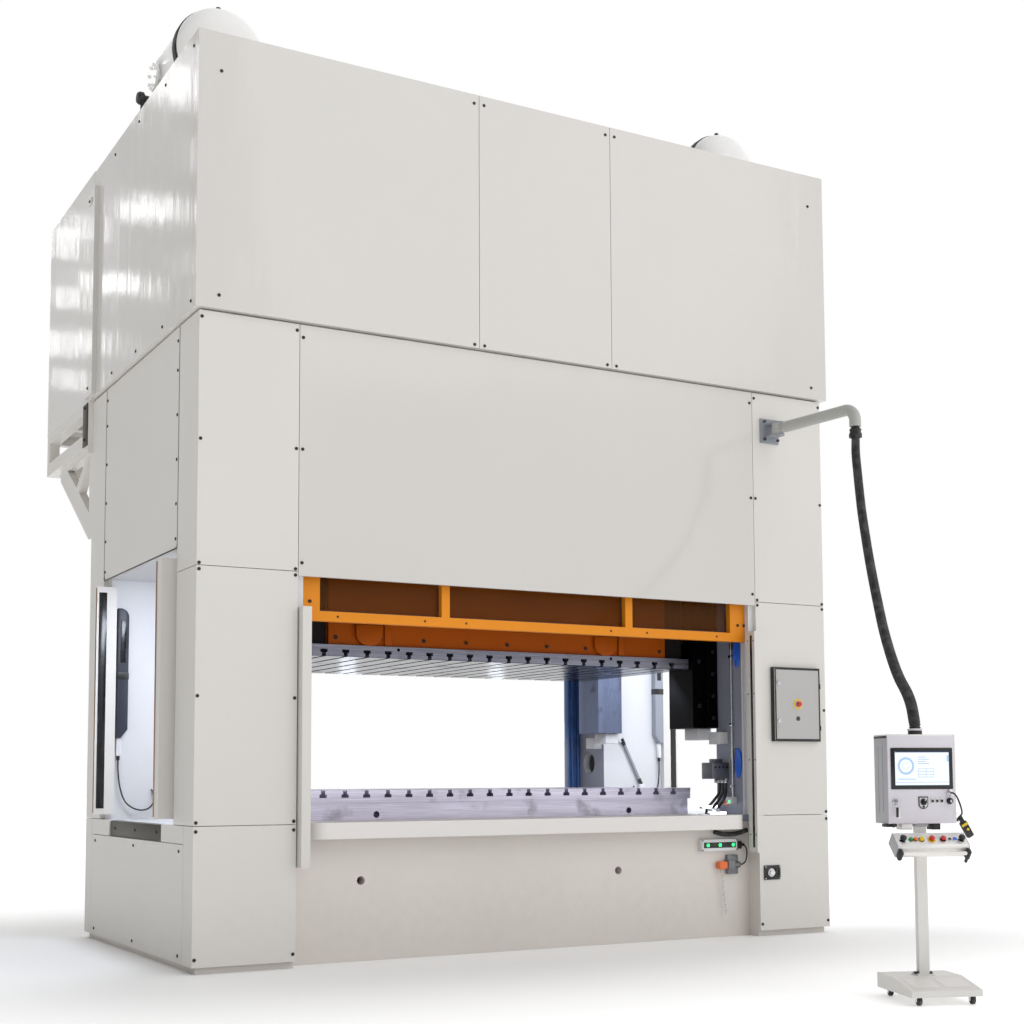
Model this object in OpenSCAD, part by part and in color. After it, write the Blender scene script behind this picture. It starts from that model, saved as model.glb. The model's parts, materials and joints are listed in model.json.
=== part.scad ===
// Straight side servo press: tie-rod frame, two-point eccentric drive, sheet covers,
// lifting front guard and a wheeled operator console joined by a hose.
// X runs along the front, Y to the back, Z up. The origin is on the floor under the bolster's centre.

/* [Frame] */
// Width over the column covers
frame_w = 4772; // [4740:1:4900]
// Depth over the column covers
frame_d = 2550; // [2530:1:2650]
// Clear width between the columns
opening_w = 3500; // [3480:1:3520]
// Height of the covers' lower edge above the floor
floor_gap = 40; // [20:1:80]
// Height of the bed
bed_h = 812; // [790:1:830]
// Set-back of the bed's front and back between the columns from the covers
bed_in = 135; // [105:1:165]
// Wall of the bed weldment
bed_wall = 80; // [50:1:110]
// Top plate of the bed
bed_top = 110; // [80:1:180]
// Wall of the uprights
leg_wall = 60; // [40:1:80]
// Depth of the feed window through each upright
window_d = 1560; // [1540:1:1580]
// Height of the feed window's lower edge above the bed
sill_up = 40; // [34:1:68]
// Height of the feed window
window_h = 1688; // [1600:1:1690]
// Height of the joint between the uprights and the crown
upright_top = 3900; // [3880:1:3920]
// Height of the crown weldment's top face
crown_top = 5500; // [5460:1:5520]
// Back face of the crown weldment
crown_back = 1137; // [1120:1:1150]
// Outer plates of the crown
crown_plate = 140; // [120:1:160]
// Clear distance between the two bearing webs of the crown
web_gap = 600; // [560:1:640]
// Thickness of a bearing web
web_t = 100; // [80:1:120]
// Diameter of the tie rods
tie_d = 150; // [120:1:180]
// Diameter of the foundation bolt holes
anchor_d = 70; // [50:1:90]
// Depth of the foundation bolt holes
anchor_l = 160; // [120:1:300]
// Foundation bolt pitch along the front
anchor_pitch_x = 3800; // [3760:1:3860]
// Foundation bolt pitch front to back
anchor_pitch_y = 1400; // [1300:1:1500]
// Height of a tie rod nut
tie_nut_h = 70; // [50:1:75]
// Width across the corners of a tie rod nut
tie_nut_w = 230; // [220:1:236]

/* [Covers] */
// Sheet thickness
sheet = 4; // [2:0.5:6]
// Depth of a folded column cover
cover_depth = 30; // [24:1:36]
// Gap at the seams between covers
seam = 4; // [2:0.5:6]
// Lower edge of the crown covers
crown_z = 3935; // [3930:1:3945]
// Height of the crown covers
crown_h = 1712; // [1690:1:1730]
// Overhang of the crown covers past the column covers
crown_over = 37; // [30:1:45]
// Seams of the middle crown panel, from the centre
crown_seam_x = 515; // [400:1:700]
// Back edge of the crown side covers
crown_cover_back = 1204; // [1195:1:1205]
// Height of the roof sheet
roof_z = 5600; // [5598:1:5620]
// Lower edge of the upper front panel
upper_panel_z = 2362; // [2340:1:2380]
// Height of the seam across the column covers
column_seam_z = 2388; // [2300:1:2450]
// Height of the seam above the base covers
base_seam_z = 854; // [848:1:860]
// Lower edge of the upper side panels
side_panel_z = 2545; // [2541:1:2560]
// Width of the side panels
side_panel_w = 1764; // [1740:1:1800]
// Corner radius of the side panels
side_panel_r = 70; // [40:1:100]
// Top edge of the base side panels
base_panel_z = 741; // [700:1:742]
// Width of the base side panels
base_panel_w = 2166; // [2100:1:2200]
// Length of the dark sill between the end blocks
sill_w = 1240; // [1100:1:1400]

/* [Die space] */
// Gap between the slide plate's ends and the gib rails
plate_side = 6.2; // [4:0.1:12]
// Depth of the bolster and slide plates
plate_d = 1524; // [1500:1:1530]
// Thickness of the bolster
bolster_h = 240; // [200:1:260]
// Height of the bolster's upper band
bolster_band = 78; // [70:1:100]
// Set-back of the bolster's lower block
bolster_step = 15; // [5:1:25]
// Thickness of the slide plate
slide_plate_h = 78; // [70:1:100]
// Distance from bolster to slide with the slide raised
daylight = 870; // [840:1:880]
// Pitch of the T-slots
slot_pitch = 152.4; // [140:0.1:160]
// Slots on each side of the middle one
slot_side_n = 9; // [5:1:9]
// Width of a slot
slot_w = 28; // [20:1:34]
// Depth of a slot's neck
slot_neck = 26; // [18:1:30]
// Width of a slot's foot
slot_foot_w = 50; // [40:1:60]
// Height of a slot's foot
slot_foot_h = 22; // [16:1:26]
// Diameter of the lifting holes
lift_hole_d = 44; // [30:1:50]
// Lifting holes of the bolster, from the centre
bolster_hole_x = 990; // [800:1:1200]
// Lifting holes of the slide plate, from the centre
slide_hole_x = 840; // [700:1:1200]

/* [Slide] */
// Set-back of the slide's painted body from its end guides
slide_step = 170; // [150:1:200]
// Depth of the slide's body
slide_d = 1470; // [1400:1:1490]
// Height of the slide's body
slide_h = 950; // [900:1:980]
// Wall of the slide weldment
slide_wall = 50; // [35:1:60]
// Thickness of a gib rail
gib_t = 225.8; // [215:0.1:235]
// Gap between a tongue of the slide and the upright
tongue_side = 66; // [56:1:76]
// Depth of the tongues
tongue_d = 960; // [940:1:970]
// Thickness of a bronze liner on an end guide
liner_t = 30; // [29:1:32]
// Thickness of a bronze liner on a tongue
tongue_liner_t = 20; // [15:1:25]
// Running gap at the gibs
gib_gap = 0.2; // [0.1:0.05:0.4]
// Depth of a gib rail
gib_d = 300; // [260:1:320]
// Lower end of the gib rails
gib_z = 1490; // [1300:1:1500]
// Upper end of the gib rails
gib_top = 3300; // [3250:1:3500]

/* [Drive] */
// Height of the eccentric shafts
shaft_z = 4790; // [4780:1:4800]
// Stroke of the slide
stroke = 250; // [200:2:260]
// Teeth of a main gear
gear_teeth = 70; // [70:2:70]
// Teeth of a motor pinion
pinion_teeth = 14; // [14:1:14]
// Module of the teeth
tooth_module = 20; // [19.6:0.1:20.1]
// Face width of the main gears
gear_face = 180; // [140:1:200]
// Diameter of the shaft journals
journal_d = 260; // [240:1:270]
// Diameter of the eccentric pins
crankpin_d = 260; // [250:1:280]
// Diameter of the crank discs
crank_disc_d = 580; // [560:1:590]
// Thickness of the crank discs
crank_disc_t = 65; // [50:1:80]
// Length of the eccentric pins
crankpin_l = 230; // [200:1:240]
// Wall of the bearing bushes
bush_t = 35; // [20:1:40]
// Radial running fit of shafts and pins
run_fit = 0.05; // [0.02:0.01:0.08]
// Length of the connecting rods between centres
rod_len = 1450; // [1440:1:1460]
// Wall of a connecting rod's big end
rod_wall = 90; // [60:1:100]
// Width of a connecting rod's shank
rod_shank_w = 190; // [150:1:200]
// Diameter of a connecting rod's lower end
rod_end_d = 320; // [280:1:330]
// Diameter of the wrist pins
wrist_d = 150; // [120:1:160]
// Room left round the lower end of a rod
rod_room = 32; // [30:1:40]
// Diameter of the pinion shafts
pinion_shaft_d = 130; // [110:1:140]
// Diameter of the servo motors
motor_d = 660; // [600:1:700]
// Length of the servo motors
motor_l = 980; // [900:1:1100]
// Diameter of the balance cylinders
balance_d = 260; // [240:1:280]
// Height of the balance cylinders
balance_h = 650; // [600:1:660]
// Diameter of the balance piston rods
balance_rod_d = 70; // [60:1:80]

/* [Guard and light curtains] */
// Gap between the guard's edge and the edge of the opening
guard_side = 22; // [20:1:30]
// Height of the front guard
guard_h = 1460; // [1400:1:1500]
// Lower edge of the raised guard
guard_z = 2100; // [2080:1:2120]
// Thickness of the guard's frame
guard_t = 50; // [40:1:54]
// Distance of the guard behind the covers' front
guard_set = 75; // [70:1:80]
// Width of the guard's posts
guard_post_w = 150; // [120:1:160]
// Width of the guard's middle bars
guard_bar_w = 58; // [50:1:70]
// Middle bars of the guard, from the centre
guard_bar_x = 708; // [600:1:800]
// Height of the guard's rails
guard_rail_h = 62; // [50:1:80]
// Thickness of the guard's windows
window_t = 8; // [6:0.5:10]
// Thickness of the guard tracks
track_t = 16; // [12:1:20]
// Depth of the guard tracks
track_d = 115; // [112:1:130]
// Width of a front curtain post
curtain_w = 58; // [50:1:62]
// Depth of a front curtain post
curtain_d = 95; // [80:1:110]
// Lower end of the front curtain posts
curtain_z = 595; // [560:1:640]
// Height of the front curtain posts
curtain_h = 1575; // [1500:1:1600]
// Width of a side curtain post
side_post_w = 110; // [100:1:120]
// How far a side curtain post stands out from the covers
side_post_out = 84; // [70:1:90]
// Lower end of the side curtain posts
side_post_z = 890; // [885:1:900]
// Height of the side curtain posts
side_post_h = 1590; // [1500:1:1600]

/* [Apron] */
// Height of the apron's top face above the bed
apron_up = 48; // [44:1:58]
// Height of the apron's lip
apron_lip = 100; // [80:1:120]
// Gap between the apron's end and the edge of the opening
apron_side = 95; // [80:1:125]
// Corner radius of the apron
apron_r = 100; // [60:1:140]
// Gap between the apron and the bolster
apron_gap = 4; // [2:0.5:8]

/* [Rear and roof] */
// Back face of the rear enclosure
rear_y = 2660; // [2600:1:2700]
// Top of the rear enclosure
rear_top = 5660; // [5650:1:5680]
// Wall of the rear enclosure
rear_wall = 12; // [8:1:20]
// Height of the platform's lower beams
beam_h = 100; // [80:1:110]
// Width of the platform's beams
beam_w = 80; // [60:1:90]
// Lower face of the platform's lower beams
beam_z = 3600; // [3580:1:3640]
// Lower tip of the gusset brackets
gusset_z = 2910; // [2850:1:3000]
// Reach of the gusset brackets behind the covers
gusset_y = 1040; // [950:1:1100]
// Thickness of a gusset bracket
gusset_t = 60; // [40:1:70]
// Bar width of a gusset bracket
gusset_bar = 95; // [70:1:110]
// Diameter of the surge tanks
tank_d = 580; // [540:1:586]
// Straight length of the surge tanks
tank_l = 600; // [500:1:700]
// Front end of the tanks' straight length
tank_y = -570; // [-650:1:-500]
// Depth of a tank's domed head
tank_head = 150; // [110:1:170]
// Distance of the tanks from the centre
tank_x = 2046; // [2000:1:2080]

/* [Lamps and electric box] */
// Height of a work lamp
lamp_h = 915; // [900:1:1100]
// Width of a work lamp
lamp_w = 80; // [80:1:104]
// Lower end of the work lamps
lamp_z = 1420; // [1330:1:1480]
// Depth of a work lamp
lamp_d = 60; // [40:1:70]
// Left edge of the electric box, from the edge of the opening
box_in = 128; // [110:1:140]
// Lower edge of the electric box
box_z = 1384; // [1300:1:1450]
// Width of the electric box
box_w = 436; // [420:1:450]
// Height of the electric box
box_h = 536; // [500:1:560]
// Depth of the electric box
box_d = 26; // [20:1:40]
// Border of the electric box round its door
box_rim = 16; // [12:1:20]
// Thickness of the box door
door_t = 12; // [8:0.5:14]
// Gap behind the box door
door_gap = 2; // [1.5:0.1:3]
// Radius of the hinge pins
hinge_pin_r = 3; // [2:0.1:3.5]
// Radius of the hinge barrels
hinge_r = 6; // [5:0.1:6]
// Length of a hinge barrel
hinge_l = 36; // [20:1:50]
// Stop button on the box door, from the door's left edge
box_stop_x = 208; // [120:1:280]
// Stop button on the box door, above the door's lower edge
box_stop_z = 262; // [150:1:350]

/* [Hose arm] */
// Arm pivot, from the edge of the opening
arm_in = 150; // [130:1:170]
// Height of the arm
arm_z = 3650; // [3600:1:3700]
// Distance of the pivot in front of the covers
arm_out = 110; // [100:1:130]
// Reach of the arm from its pivot
arm_reach = 748; // [700:1:800]
// Angle of the arm from straight forward
arm_yaw = 5; // [0:1:10]
// Outer diameter of the arm tube
arm_d = 80; // [70:1:84]
// Bend radius of the arm's elbow
arm_bend = 90; // [80:1:95]
// Straight drop below the arm's elbow
arm_drop = 40; // [30:1:60]
// Diameter of the arm's pivot pin
arm_pin_d = 30; // [20:1:40]
// Height of the arm's hub
arm_hub_h = 74; // [60:1:80]
// Thickness of the bracket's lugs
arm_lug_t = 12; // [8:1:16]
// Width of the bracket's flange
arm_flange_w = 165; // [140:1:170]
// Height of the bracket's flange
arm_flange_h = 180; // [160:1:200]

/* [Console] */
// Console centre on the floor, along the front
console_x = 541; // [500:1:580]
// Console centre on the floor, in front of the bolster's centre
console_y = -4154; // [-4200:1:-4100]
// Turn of the console
console_turn = -20; // [-30:1:-10]
// Width of the console's foot
foot_w = 370; // [360:1:380]
// Length of the console's foot
foot_l = 432; // [420:1:450]
// Height of the console's foot at the back
foot_h = 115; // [110:1:125]
// Height of the console's foot at the front
foot_lip_h = 72; // [70:1:76]
// Sheet of the console's foot
foot_t = 4; // [3:0.5:5]
// Start of the foot's slope, from its centre
foot_crease = 16; // [-24:1:56]
// Lower edge of the foot's skirt
foot_z = 40; // [34:1:44]
// Width of the console's column
post_w = 55; // [45:1:65]
// Depth of the console's column
post_d = 37; // [25:1:49]
// Front of the console's column
post_y = 45; // [41:1:49]
// Width of the console housing
housing_w = 370; // [360:1:380]
// Depth of the console housing
housing_d = 170; // [150:1:180]
// Front of the console housing
housing_y = 20; // [10:1:24]
// Lower face of the console housing
housing_z = 883; // [876:1:900]
// Height of the console housing
housing_h = 457; // [440:1:480]
// Corner radius of the console housing
housing_r = 14; // [8:1:20]
// Width of the screen
screen_w = 336; // [320:1:344]
// Height of the screen
screen_h = 212; // [200:1:220]
// Lower edge of the screen above the housing's lower face
screen_up = 176; // [170:1:190]
// Thickness of the screen
screen_t = 10; // [8:0.5:12]
// How far the screen stands out
screen_out = 5; // [3:0.5:6]
// Height of the key switch and selector above the housing's lower face
switch_up = 112; // [90:1:120]
// Key switch, from the housing's centre
key_x = -148; // [-155:1:-130]
// Mode selector, from the housing's centre
selector_x = 4; // [-10:1:10]
// Width of the button desk
desk_w = 386; // [380:1:400]
// Depth of the desk's sloped face, seen from above
desk_d = 78; // [72:1:86]
// Thickness of the button desk
desk_t = 71; // [66:1:76]
// Lowest edge of the button desk
desk_z = 718; // [710:1:730]
// Height of the face's back edge above the lowest edge
desk_back_h = 121; // [120:1:130]
// Height of the face's front edge above the lowest edge
desk_front_h = 54; // [50:1:60]
// Back edge of the desk's face
desk_y = -33; // [-37:1:-29]
// Diameter of the desk's handle bar
handle_d = 20; // [18:1:26]

/* [Castors and buttons] */
// Diameter of a castor wheel
castor_d = 48; // [44:1:50]
// Width of a castor wheel
castor_w = 20; // [16:1:22]
// Trail of a castor
castor_trail = 18; // [14:1:20]
// Castors, from the foot's middle across
castor_x = 140; // [130:1:144]
// Castors, from the foot's middle along
castor_y = 174; // [168:1:176]
// Diameter of a castor's stem
castor_stem_d = 16; // [12:1:18]
// Diameter of a castor's axle
castor_axle_d = 8; // [6:0.5:9]
// Thickness of a castor's fork legs
castor_leg_t = 3; // [2:0.5:4]
// Diameter of the button stems
stem_d = 12; // [8:0.5:12]
// Travel of a push button
press_travel = 4; // [2:0.5:5]
// Diameter of the stop mushrooms
stop_d = 28; // [26:1:32]
// Diameter of the small push buttons
button_d = 20; // [18:1:20]
// Diameter of the palm buttons
palm_d = 34; // [28:1:36]
// Diameter of the hose
hose_d = 60; // [50:1:66]

/* [Hidden] */
$fn = 48;
over = 1;
lap = 0.5;
clear = 0.3;
white = [0.86, 0.85, 0.83];
orange = [0.93, 0.55, 0.10];
steel = [0.62, 0.62, 0.64];
dark_steel = [0.30, 0.31, 0.33];
black = [0.07, 0.07, 0.08];
console_grey = [0.80, 0.80, 0.86];
red = [0.80, 0.12, 0.12];

// Weldment faces behind the covers
half_w = frame_w / 2;
half_d = frame_d / 2;
weld_x = half_w - cover_depth;
weld_y = half_d - cover_depth;
inner_x = opening_w / 2 + 6;
box_x = opening_w / 2 + box_in;
arm_x = opening_w / 2 + arm_in;
cover_in_x = opening_w / 2 + seam / 2;
half_bed = half_d - bed_in;
half_win = window_d / 2;
window_z = bed_h + sill_up;
window_top = window_z + window_h;
apron_z = bed_h + apron_up;
tie_x = (inner_x + leg_wall + weld_x) / 2;
tie_y = (half_win + weld_y) / 2;
tie_low_z = 300;
tie_room = 130;
tie_tip = 15;
bed_bays = 5;

// Crown covers
crown_x = half_w + crown_over;
crown_y = half_d + crown_over;
crown_depth = crown_over + cover_depth;
crown_cover_top = crown_z + crown_h;
column_top = crown_z - 10;

// Heights of the die space
bolster_top = bed_h + bolster_h;
slide_z = bolster_top + daylight;
body_z = slide_z + slide_plate_h;
body_top = body_z + slide_h;
liner_margin = 20;
gib_x = inner_x - gib_t;
guide_w = 2 * (gib_x - liner_t - gib_gap);
tongue_w = 2 * (inner_x - tongue_side);
slide_w = guide_w - 2 * slide_step;
plate_w = 2 * (gib_x - plate_side);
guard_w = opening_w - 2 * guard_side;
apron_w = opening_w - 2 * apron_side;
slot_n = min(slot_side_n, floor((plate_w / 2 - slot_foot_w) / slot_pitch));
gib_y = tongue_d / 2 + tongue_liner_t + gib_gap;

// Drive layout, seen from the front
throw = stroke / 2;
pressure_angle = 25;
tooth_backlash = 0.6;
gear_r = gear_teeth * tooth_module / 2;
pinion_r = pinion_teeth * tooth_module / 2;
gear_y = 520;
pinion_step = 31;
pinion_angle = pinion_step * 360 / gear_teeth;
pinion_x = gear_r - (gear_r + pinion_r) * cos(pinion_angle);
pinion_z = shaft_z + (gear_r + pinion_r) * sin(pinion_angle);
web_y = web_gap / 2;
journal_r = journal_d / 2;
crankpin_r = crankpin_d / 2;
shaft_front = -web_y - web_t - 30;
rod_t = crankpin_l - 14;
rod_x0 = gear_r - rod_end_d / 2 - rod_room;
rod_x1 = gear_r + throw + rod_end_d / 2 + rod_room;
wrist_z = shaft_z + throw - rod_len;
pocket_z = wrist_z - rod_end_d / 2 - throw / 4 - rod_room;
tower_wall = 60;
tower_top = wrist_z + 140;
tower_y = wrist_d / 2 + rod_room + 60;
balance_in = 156;
balance_x = inner_x - balance_in;
balance_y = 300;

// Guard track between the upright and the guard's edge
guard_y = -half_d + guard_set;
track_x = inner_x - track_t;
track_lip = 22;

// Round bars and boxes
module slab(x0, x1, y0, y1, z0, z1) {
    translate([x0, y0, z0]) cube([x1 - x0, y1 - y0, z1 - z0]);
}
module x_bar(r, x0, x1) {
    translate([x0, 0, 0]) rotate([0, 90, 0]) cylinder(r = r, h = x1 - x0);
}
module y_bar(r, y0, y1) {
    translate([0, y0, 0]) rotate([-90, 0, 0]) cylinder(r = r, h = y1 - y0);
}
module z_bar(r, z0, z1) {
    translate([0, 0, z0]) cylinder(r = r, h = z1 - z0);
}
module both_sides() {
    children();
    mirror([1, 0, 0]) children();
}
module front_and_back() {
    children();
    mirror([0, 1, 0]) children();
}
module four_corners() {
    both_sides() front_and_back() children();
}

// Bed weldment, open to the floor, with pads under the uprights
module bed() {
    bay_w = (2 * inner_x - (bed_bays + 1) * bed_wall) / bed_bays;
    front_holes = [-1270, 640];
    front_hole_z = 495;
    front_hole_r = 27;
    color(white) difference() {
        union() {
            slab(-weld_x, weld_x, -half_bed, half_bed, 0, bed_h);
            both_sides() slab(inner_x, weld_x, -weld_y, weld_y, 0, bed_h);
        }
        for (i = [0 : bed_bays - 1]) {
            x0 = -inner_x + bed_wall + i * (bay_w + bed_wall);
            slab(x0, x0 + bay_w, -half_bed + bed_wall, half_bed - bed_wall, -over, bed_h - bed_top);
        }
        four_corners() {
            slab(tie_x - tie_room, tie_x + tie_room, tie_y - tie_room, tie_y + tie_room, -over,
                 tie_low_z);
            translate([tie_x, tie_y, 0]) z_bar(tie_d / 2 + 5, 0, bed_h + over);
        }
        four_corners() translate([anchor_pitch_x / 2, anchor_pitch_y / 2, 0]) z_bar(anchor_d / 2, -over,
                                                                                    anchor_l);
        for (x = front_holes)
            translate([x, 0, front_hole_z]) y_bar(front_hole_r, -half_bed - over,
                                                  -half_bed + bed_wall + over);
    }
}

// Right upright: two box legs joined above and below the feed window, with access holes inside
module upright() {
    pocket_x = inner_x + leg_wall;
    pocket_x1 = weld_x - leg_wall;
    access_r = 90;
    access_low = 438;
    access_pitch = 900;
    access_z = [for (i = [0 : 2]) bed_h + access_low + i * access_pitch];
    web_access_z = (window_top + upright_top) / 2;
    difference() {
        slab(inner_x, weld_x, -weld_y, weld_y, bed_h, upright_top);
        slab(inner_x - over, weld_x + over, -half_win, half_win, window_z, window_top);
        front_and_back() {
            slab(pocket_x, pocket_x1, half_win + leg_wall, weld_y - leg_wall, bed_h + leg_wall,
                 upright_top - leg_wall);
            translate([tie_x, tie_y, 0]) z_bar(tie_d / 2 + 5, bed_h - over, upright_top + over);
            for (z = access_z) translate([0, tie_y, z]) x_bar(access_r, inner_x - over, pocket_x + over);
        }
        slab(pocket_x, pocket_x1, -half_win + leg_wall, half_win - leg_wall,
             window_top + leg_wall, upright_top - leg_wall);
        translate([0, 0, web_access_z]) x_bar(access_r, inner_x - over, pocket_x + over);
    }
}
module left_upright() {
    color(white) mirror([1, 0, 0]) upright();
}
module right_upright() {
    color(white) upright();
}

// Crown weldment, open at the top, with bearing webs for the eccentric shafts
module crown() {
    floor_z = upright_top + crown_plate;
    bay_x = max(inner_x - 56, pinion_x + pinion_r + 3 * tooth_module);
    side_x = max(inner_x, bay_x) + leg_wall;
    color(white) difference() {
        slab(-weld_x, weld_x, -weld_y, crown_back, upright_top, crown_top);
        slab(-bay_x, bay_x, -weld_y + crown_plate, -web_y - web_t, floor_z, crown_top + over);
        slab(-bay_x, bay_x, -web_y, web_y, floor_z, crown_top + over);
        slab(-bay_x, bay_x, web_y + web_t, crown_back - crown_plate, floor_z, crown_top + over);
        both_sides() {
            slab(side_x, weld_x - leg_wall, -half_win, half_win, floor_z, crown_top + over);
            slab(rod_x0, rod_x1, -tower_y, tower_y, upright_top - over, floor_z + over);
            translate([gear_r, 0, shaft_z]) y_bar(journal_r + bush_t, -web_y - web_t - over,
                                                  crown_back + over);
            translate([pinion_x, 0, pinion_z])
                y_bar(pinion_shaft_d / 2 + bush_t, web_y - over, crown_back + over);
            front_and_back() translate([tie_x, tie_y, 0]) z_bar(tie_d / 2 + 5, upright_top - over,
                                                                crown_top + over);
        }
    }
}

// Four tie rods with a nut at each end
module tie_rods() {
    color(dark_steel) four_corners() translate([tie_x, tie_y, 0]) {
        z_bar(tie_d / 2, tie_low_z - tie_nut_h - tie_tip, crown_top + tie_nut_h + tie_tip);
        translate([0, 0, tie_low_z - tie_nut_h]) cylinder(d = tie_nut_w, h = tie_nut_h, $fn = 6);
        translate([0, 0, crown_top]) cylinder(d = tie_nut_w, h = tie_nut_h, $fn = 6);
    }
}

// Front-to-back T-slots cut down from z, or up from z when dir is -1
module t_slots(z, dir) {
    reach = plate_d / 2 + over;
    for (i = [-slot_n : slot_n]) {
        x = i * slot_pitch;
        translate([x, 0, z]) scale(1) mirror([0, 0, dir > 0 ? 1 : 0]) {
            slab(-slot_w / 2, slot_w / 2, -reach, reach, -over, slot_neck + lap);
            slab(-slot_foot_w / 2, slot_foot_w / 2, -reach, reach, slot_neck, slot_neck + slot_foot_h);
        }
    }
}

// Slotted bolster plate on the bed
module bolster() {
    band_z = bolster_top - bolster_band;
    lower_x = plate_w / 2 - bolster_step;
    lower_y = plate_d / 2 - bolster_step;
    hole_z = (bed_h + band_z) / 2;
    color(steel) difference() {
        union() {
            slab(-plate_w / 2, plate_w / 2, -plate_d / 2, plate_d / 2, band_z, bolster_top);
            slab(-lower_x, lower_x, -lower_y, lower_y, bed_h, band_z + lap);
        }
        t_slots(bolster_top, 1);
        both_sides() translate([bolster_hole_x, 0, hole_z])
            y_bar(lift_hole_d / 2, -plate_d / 2 - over, -plate_d / 2 + 160);
    }
}

// Right eccentric shaft with its crank discs and pin raised to top dead centre
module eccentric_shaft() {
    pin_y = crankpin_l / 2;
    disc_y = pin_y + crank_disc_t;
    translate([gear_r, 0, shaft_z]) {
        y_bar(journal_r, shaft_front, -disc_y + lap);
        y_bar(journal_r, disc_y - lap, crown_back - 10);
        front_and_back() translate([0, 0, throw / 2]) y_bar(crank_disc_d / 2, pin_y, disc_y);
        translate([0, 0, throw]) y_bar(crankpin_r, -pin_y - lap, pin_y + lap);
    }
}
module left_eccentric_shaft() {
    color(steel) mirror([1, 0, 0]) eccentric_shaft();
}
module right_eccentric_shaft() {
    color(steel) eccentric_shaft();
}

// Involute tooth form
function involute(a) = tan(a) * 180 / PI - a;
function roll_angle(r, base) = r > base ? acos(base / r) : 0;
function half_tooth(r, teeth, base, pitch) =
    90 / teeth + involute(pressure_angle) - involute(roll_angle(r, base))
    - tooth_backlash / pitch * 180 / PI;
function flank_radii(pitch) =
    [pitch - 1.25 * tooth_module, pitch - 0.4 * tooth_module, pitch + 0.3 * tooth_module,
     pitch + tooth_module];
function polar(r, a) = [r * cos(a), r * sin(a)];
function gear_outline(teeth) =
    let (pitch = teeth * tooth_module / 2, base = pitch * cos(pressure_angle), radii = flank_radii(pitch))
    [for (i = [0 : teeth - 1]) each concat(
        [for (r = radii) polar(r, i * 360 / teeth - half_tooth(r, teeth, base, pitch))],
        [for (k = [3 : -1 : 0]) polar(radii[k], i * 360 / teeth + half_tooth(radii[k], teeth, base,
                                                                             pitch))])];

// Gear blank along +Y, with a tooth at the angle turn in the front view
module gear_body(teeth, face, turn) {
    rotate([90, 0, 0]) mirror([0, 0, 1]) linear_extrude(face) rotate(turn) polygon(gear_outline(teeth));
}

// Main gear, dished on both faces, with lightening holes
module main_gear(turn) {
    dish_out = gear_r - 95;
    dish_in = journal_r + 90;
    dish_depth = gear_face / 3;
    holes = 6;
    hole_r = 105;
    difference() {
        translate([0, gear_y, 0]) gear_body(gear_teeth, gear_face, turn);
        y_bar(journal_r + 0.02, gear_y - over, gear_y + gear_face + over);
        for (y = [gear_y - over, gear_y + gear_face - dish_depth]) difference() {
            y_bar(dish_out, y, y + dish_depth + over);
            y_bar(dish_in, y - over, y + dish_depth + 2 * over);
        }
        for (i = [0 : holes - 1]) rotate([0, (i + 0.5) * 360 / holes, 0])
            translate([(dish_in + dish_out) / 2, 0, 0]) y_bar(hole_r, gear_y, gear_y + gear_face);
    }
}
module left_main_gear() {
    color(dark_steel) translate([-gear_r, 0, shaft_z]) main_gear(0);
}
module right_main_gear() {
    color(dark_steel) translate([gear_r, 0, shaft_z]) main_gear(180 + 180 / gear_teeth);
}

// Bronze bushes of the eccentric shafts and pinion shafts
module bush(r, y0, y1) {
    difference() {
        y_bar(r + bush_t - 0.02, y0, y1);
        y_bar(r + run_fit, y0 - over, y1 + over);
    }
}
module shaft_bearings() {
    color("darkgoldenrod") both_sides() {
        translate([gear_r, 0, shaft_z]) {
            front_and_back() bush(journal_r, web_y, web_y + web_t);
            bush(journal_r, crown_back - crown_plate, crown_back);
        }
        translate([pinion_x, 0, pinion_z]) {
            bush(pinion_shaft_d / 2, web_y, web_y + web_t);
            bush(pinion_shaft_d / 2, crown_back - crown_plate, crown_back);
        }
    }
}

// Connecting rod hanging from its eccentric pin, with the wrist pin in its lower end
module connecting_rod() {
    translate([gear_r, 0, shaft_z + throw]) difference() {
        union() {
            y_bar(crankpin_r + rod_wall, -rod_t / 2, rod_t / 2);
            slab(-rod_shank_w / 2, rod_shank_w / 2, -rod_t / 2 + 20, rod_t / 2 - 20, -rod_len, 0);
            translate([0, 0, -rod_len]) y_bar(rod_end_d / 2, -rod_t / 2, rod_t / 2);
            translate([0, 0, -rod_len]) y_bar(wrist_d / 2, -rod_t / 2 - 15, rod_t / 2 + 15);
        }
        y_bar(crankpin_r + run_fit, -rod_t, rod_t);
    }
}
module left_connecting_rod() {
    color(steel) mirror([1, 0, 0]) connecting_rod();
}
module right_connecting_rod() {
    color(steel) connecting_rod();
}

// Motor pinion with its shaft, along Y through the crown's back plate
module pinion_shaft(turn) {
    shaft_end = crown_back + 240;
    translate([0, gear_y - 10, 0]) gear_body(pinion_teeth, gear_face + 20, turn);
    y_bar(pinion_shaft_d / 2, web_y + 10, shaft_end);
}
module left_pinion_shaft() {
    color(steel) translate([-pinion_x, 0, pinion_z])
        pinion_shaft(pinion_angle + 180 + 180 / pinion_teeth);
}
module right_pinion_shaft() {
    color(steel) translate([pinion_x, 0, pinion_z]) pinion_shaft(-pinion_angle);
}

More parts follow.
